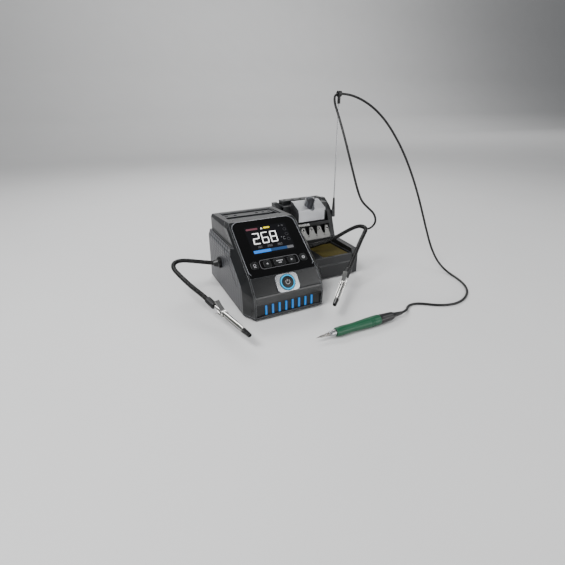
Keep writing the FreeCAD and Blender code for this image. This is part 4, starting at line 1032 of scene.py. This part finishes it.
PRESETS = (("150", -22.5), ("280", -7.5), ("380", 7.5))
ICON_U, ICON_ROWS = 27.0, (68.0, 59.5, 51.0)
presets = [shape for text, u in PRESETS for shape in number(text, u, 43.2, 1.9, 3.3, 0.45, 0.7)]
icons = [shape for v in ICON_ROWS
         for shape in loop_strips(soft_box(ICON_U, v, 5.0, 5.0, 2.4), soft_box(ICON_U, v, 3.6, 3.6, 1.7))]
show("display_area", [soft_box(0, 56, 62, 46, 1)], display_black, -INK_MM, INK_MM)
for name, outlines, ink in (
        ("display_temperature", number("268", -24.0, 49.8, 9.9, 18.3, 1.4, 3.0), ink_white),
        ("display_unit", segment_digit("C", 19.6, 51.0, 3.4, 5.0, 0.7)
         + [soft_box(17.6, 55.6, 1.6, 1.6, 0.7)], ink_grey),
        ("display_presets", presets, ink_grey),
        ("display_power_done", [soft_box(-17.2, 37.9, 25.0, 4.6, 0.9)], ink_blue),
        ("display_power_rest", [bar(-5.0, 19.5, 35.7, 40.1)], ink_deep_blue),
        ("display_power_value", [soft_box(24.2, 37.9, 10.0, 4.4, 0.9)], ink_grey),
        ("display_status_left", [soft_box(-20.5, 75.0, 17.0, 2.9, 0.8)], ink_pink),
        ("display_status_mark", [[(-7.8, 73.6), (-4.8, 73.6), (-6.3, 76.6)]], ink_white),
        ("display_battery", [soft_box(1.3, 75.2, 8.6, 2.6, 0.6), soft_box(6.1, 75.2, 0.6, 1.3, 0.25)],
         ink_yellow),
        ("display_clock", number("12 30", 18.5, 74.0, 1.3, 2.2, 0.32, 0.5), ink_grey),
        ("display_icons", icons, ink_faint)):
    show(name, outlines, ink)
print("display drawn")

# %% [markdown]
# The five keys stand a little proud of the glass. The middle three share a printed outline,
# and each key has a small printed symbol: a ring, two arrows, a caption as six plain bars,
# and a ring over a bar. The symbols ride on the keys, so they sink with them.

# %% Key symbols
KEY_ROW, KEY_TOP, END_KEY = 17.5, 0.7, 35.7
OUTLINE_ROW, LIFT = 17.6, 0.01


def on_key(key, outlines):
    # White print with a painted glow.
    flat_shapes(f"symbol_{key}", glass_plane, outlines, KEY_TOP + LIFT, KEY_TOP + INK_MM, key_print_glow,
                f"key_{key}")


def circle(u, v, radius, corners=20):
    turns = [2 * math.pi * i / corners for i in range(corners)]
    return [(u + radius * math.cos(a), v + radius * math.sin(a)) for a in turns]


def bars(lefts, low, high):
    """A row of caption bars, 1.9 mm wide, between two heights about the key row."""
    return [bar(u, u + 1.9, KEY_ROW + low, KEY_ROW + high) for u in lefts]


# The printed outline glows a little too: print with a painted glow.
flat_shapes("key_group_outline", glass_plane,
            loop_strips(soft_box(0, OUTLINE_ROW, 56.5, 14.4, 4.2),
                        soft_box(0, OUTLINE_ROW, 55.3, 13.2, 3.6)),
            0.0, INK_MM, ink_grey, "station")
on_key("menu", loop_strips(circle(END_KEY, KEY_ROW, 2.2), circle(END_KEY, KEY_ROW, 1.2)))
on_key("down", [[(-19.4, KEY_ROW), (-16.8, KEY_ROW - 1.5), (-16.8, KEY_ROW + 1.5)]])
on_key("up", [[(19.4, KEY_ROW), (16.8, KEY_ROW + 1.5), (16.8, KEY_ROW - 1.5)]])
on_key("set", bars((-4.3, -1.9, 0.5, 2.9), 0.9, 2.2) + bars((-2.0, 0.4), -2.2, -0.9))
on_key("standby", loop_strips(circle(-END_KEY, KEY_ROW + 0.6, 1.9), circle(-END_KEY, KEY_ROW + 0.6, 1.4))
       + [bar(-37.3, -34.1, KEY_ROW - 2.8, KEY_ROW - 2.0)])
print("key symbols printed")

# %% [markdown]
# A thin ground edge runs round the glass, left bare where the black print stops. It catches
# the light as a pale line at the top and sides, and is hidden by the nose along the bottom,
# so the band leaves that stretch out.

# %% Ground edge of the glass
GLASS_CENTRE, GLASS_W, GLASS_H, GLASS_ROUND = 45.35, 95.0, 90.5, 12.0
edge_outer = soft_box(0, GLASS_CENTRE, GLASS_W, GLASS_H, GLASS_ROUND, 12)
EDGE_WIDTH, EDGE_BOTTOM = 0.75, 4
edge_inner = soft_box(0, GLASS_CENTRE, GLASS_W - 2 * EDGE_WIDTH, GLASS_H - 2 * EDGE_WIDTH,
                      GLASS_ROUND - EDGE_WIDTH, 12)
shown = [quad for quad in loop_strips(edge_outer, edge_inner) if min(v for u, v in quad) > EDGE_BOTTOM]
flat_shapes("glass_polished_edge", glass_plane, shown, -0.02, 0.12, edge_finish, "station")

# %% [markdown]
# The power plate sits in the nose, and the gap round it shows as a fine dark line of shade.
# The frame has no such gap, so a thin flat band in the dark plastic is laid where it would
# be, as a painted shadow line.

# %% Painted shadow line round the power plate
gap_shade_band = loop_strips(soft_box(0, POWER_V, 33.4, 25.4, 6.7, 8), soft_box(0, POWER_V, 32.1, 24.1, 6.05, 8))
# A painted shadow line where the gap would be.
flat_shapes("plate_gap_shade", nose_plane, gap_shade_band, 0.01, 0.05, slot_abs, "station")

# %% [markdown]
# The button carries the usual open ring with a stroke through its gap. The ring is a band of
# quads between two radii, from one angle to another, and it rides on the button.

# %% Power symbol
BUTTON_TOP = 3.0


def arc_band(v, radius, width, start, end, steps=20):
    """Quads along an arc about (0, v), between two angles in degrees."""
    quads = []
    for i in range(steps):
        a0, a1 = [math.radians(start + (end - start) * (i + k) / steps) for k in (0, 1)]
        quads.append([(r * math.cos(a), v + r * math.sin(a))
                      for r, a in ((radius - width / 2, a0), (radius + width / 2, a0),
                                   (radius + width / 2, a1), (radius - width / 2, a1))])
    return quads


# White print with a painted glow.
flat_shapes("power_symbol", nose_plane,
            arc_band(POWER_V, 2.9, 0.6, 125, 415) + [bar(-0.3, 0.3, POWER_V + 0.6, POWER_V + 3.9)],
            BUTTON_TOP, BUTTON_TOP + INK_MM, key_print_glow, "power_button")
print("power symbol printed")

# %% [markdown]
# The floor is a plain pale sheet that curves up far behind, matt enough to take soft shadows
# without mirroring the station. Its side line holds a few points in metres, swept sideways.

# %% Floor
FLOOR_SIDE = [(-9, 0), (3.0, 0), (4.2, 0.2), (5.1, 0.8), (5.7, 1.8), (5.9, 3.2), (5.9, 7)]
FLOOR_HALF = 16


def studio():
    work = bmesh.new()
    rows = [[work.verts.new((x, y, z)) for x in (-FLOOR_HALF, FLOOR_HALF)] for y, z in FLOOR_SIDE]
    for a, b in zip(rows, rows[1:]):
        work.faces.new((a[0], a[1], b[1], b[0]))
    mesh = bpy.data.meshes.new("studio_floor")
    work.to_mesh(mesh)
    work.free()
    floor = bpy.data.objects.new("studio_floor", mesh)
    bpy.context.scene.collection.objects.link(floor)
    for polygon in mesh.polygons:
        polygon.use_smooth = True
    material, tree, shader = new_finish("pale_paper", IOR=1.45)
    noise = grained_colour(tree, shader, "#c6c6c6", "#cbcbcb", 200)[1]
    varied_gloss(tree, shader, noise.outputs["Fac"], 0.55, 0.65)
    mesh.materials.append(material)


studio()

# %% [markdown]
# The light is soft. One broad lamp stands at the upper left. Low and narrow strips at the
# left, the front and over the plate are there to be mirrored as bands in the dark plastic and
# the metal. A weak lamp fills the right, one behind draws the rims, and a large one lifts
# the backdrop. The room itself glows an even grey.

# %% Lamps and room
def lamp(name, place, aim_at, size, power):
    light = bpy.data.lights.new(name, "AREA")
    light.shape = "RECTANGLE"
    light.size, light.size_y = size
    light.energy = power
    holder = bpy.data.objects.new(name, light)
    holder.location = place
    holder.rotation_euler = (Vector(aim_at) - Vector(place)).to_track_quat("-Z", "Y").to_euler()
    bpy.context.scene.collection.objects.link(holder)


lamp("key_light", (-0.75, -0.3, 1.15), (0, 0, 0.05), (0.7, 0.5), 22)
lamp("left_strip", (-1.1, -0.75, 0.35), (-0.05, 0, 0.06), (0.18, 0.9), 6)
lamp("front_strip", (0.5, -1.2, 0.16), (0, 0, 0.04), (1.3, 0.26), 8)
lamp("plate_strip", (0.45, -0.8, 0.72), (0, 0, 0.04), (0.5, 0.12), 0.9)
lamp("backdrop_light", (2.0, 2.2, 3.4), (2.5, 5.5, 0.4), (5.0, 2.0), 170)
lamp("fill_light", (1.0, -0.5, 0.9), (0, 0, 0.05), (0.6, 0.6), 4)
lamp("rim_light", (0.2, 1.0, 1.0), (0, 0, 0.05), (1.2, 0.35), 12)
world = bpy.data.worlds.new("room")
world.use_nodes = True
glow = world.node_tree.nodes["Background"].inputs
glow["Color"].default_value = linear("#d8dadd")
glow["Strength"].default_value = 0.36
bpy.context.scene.world = world
print("lit by", len(bpy.data.lights), "lamps")
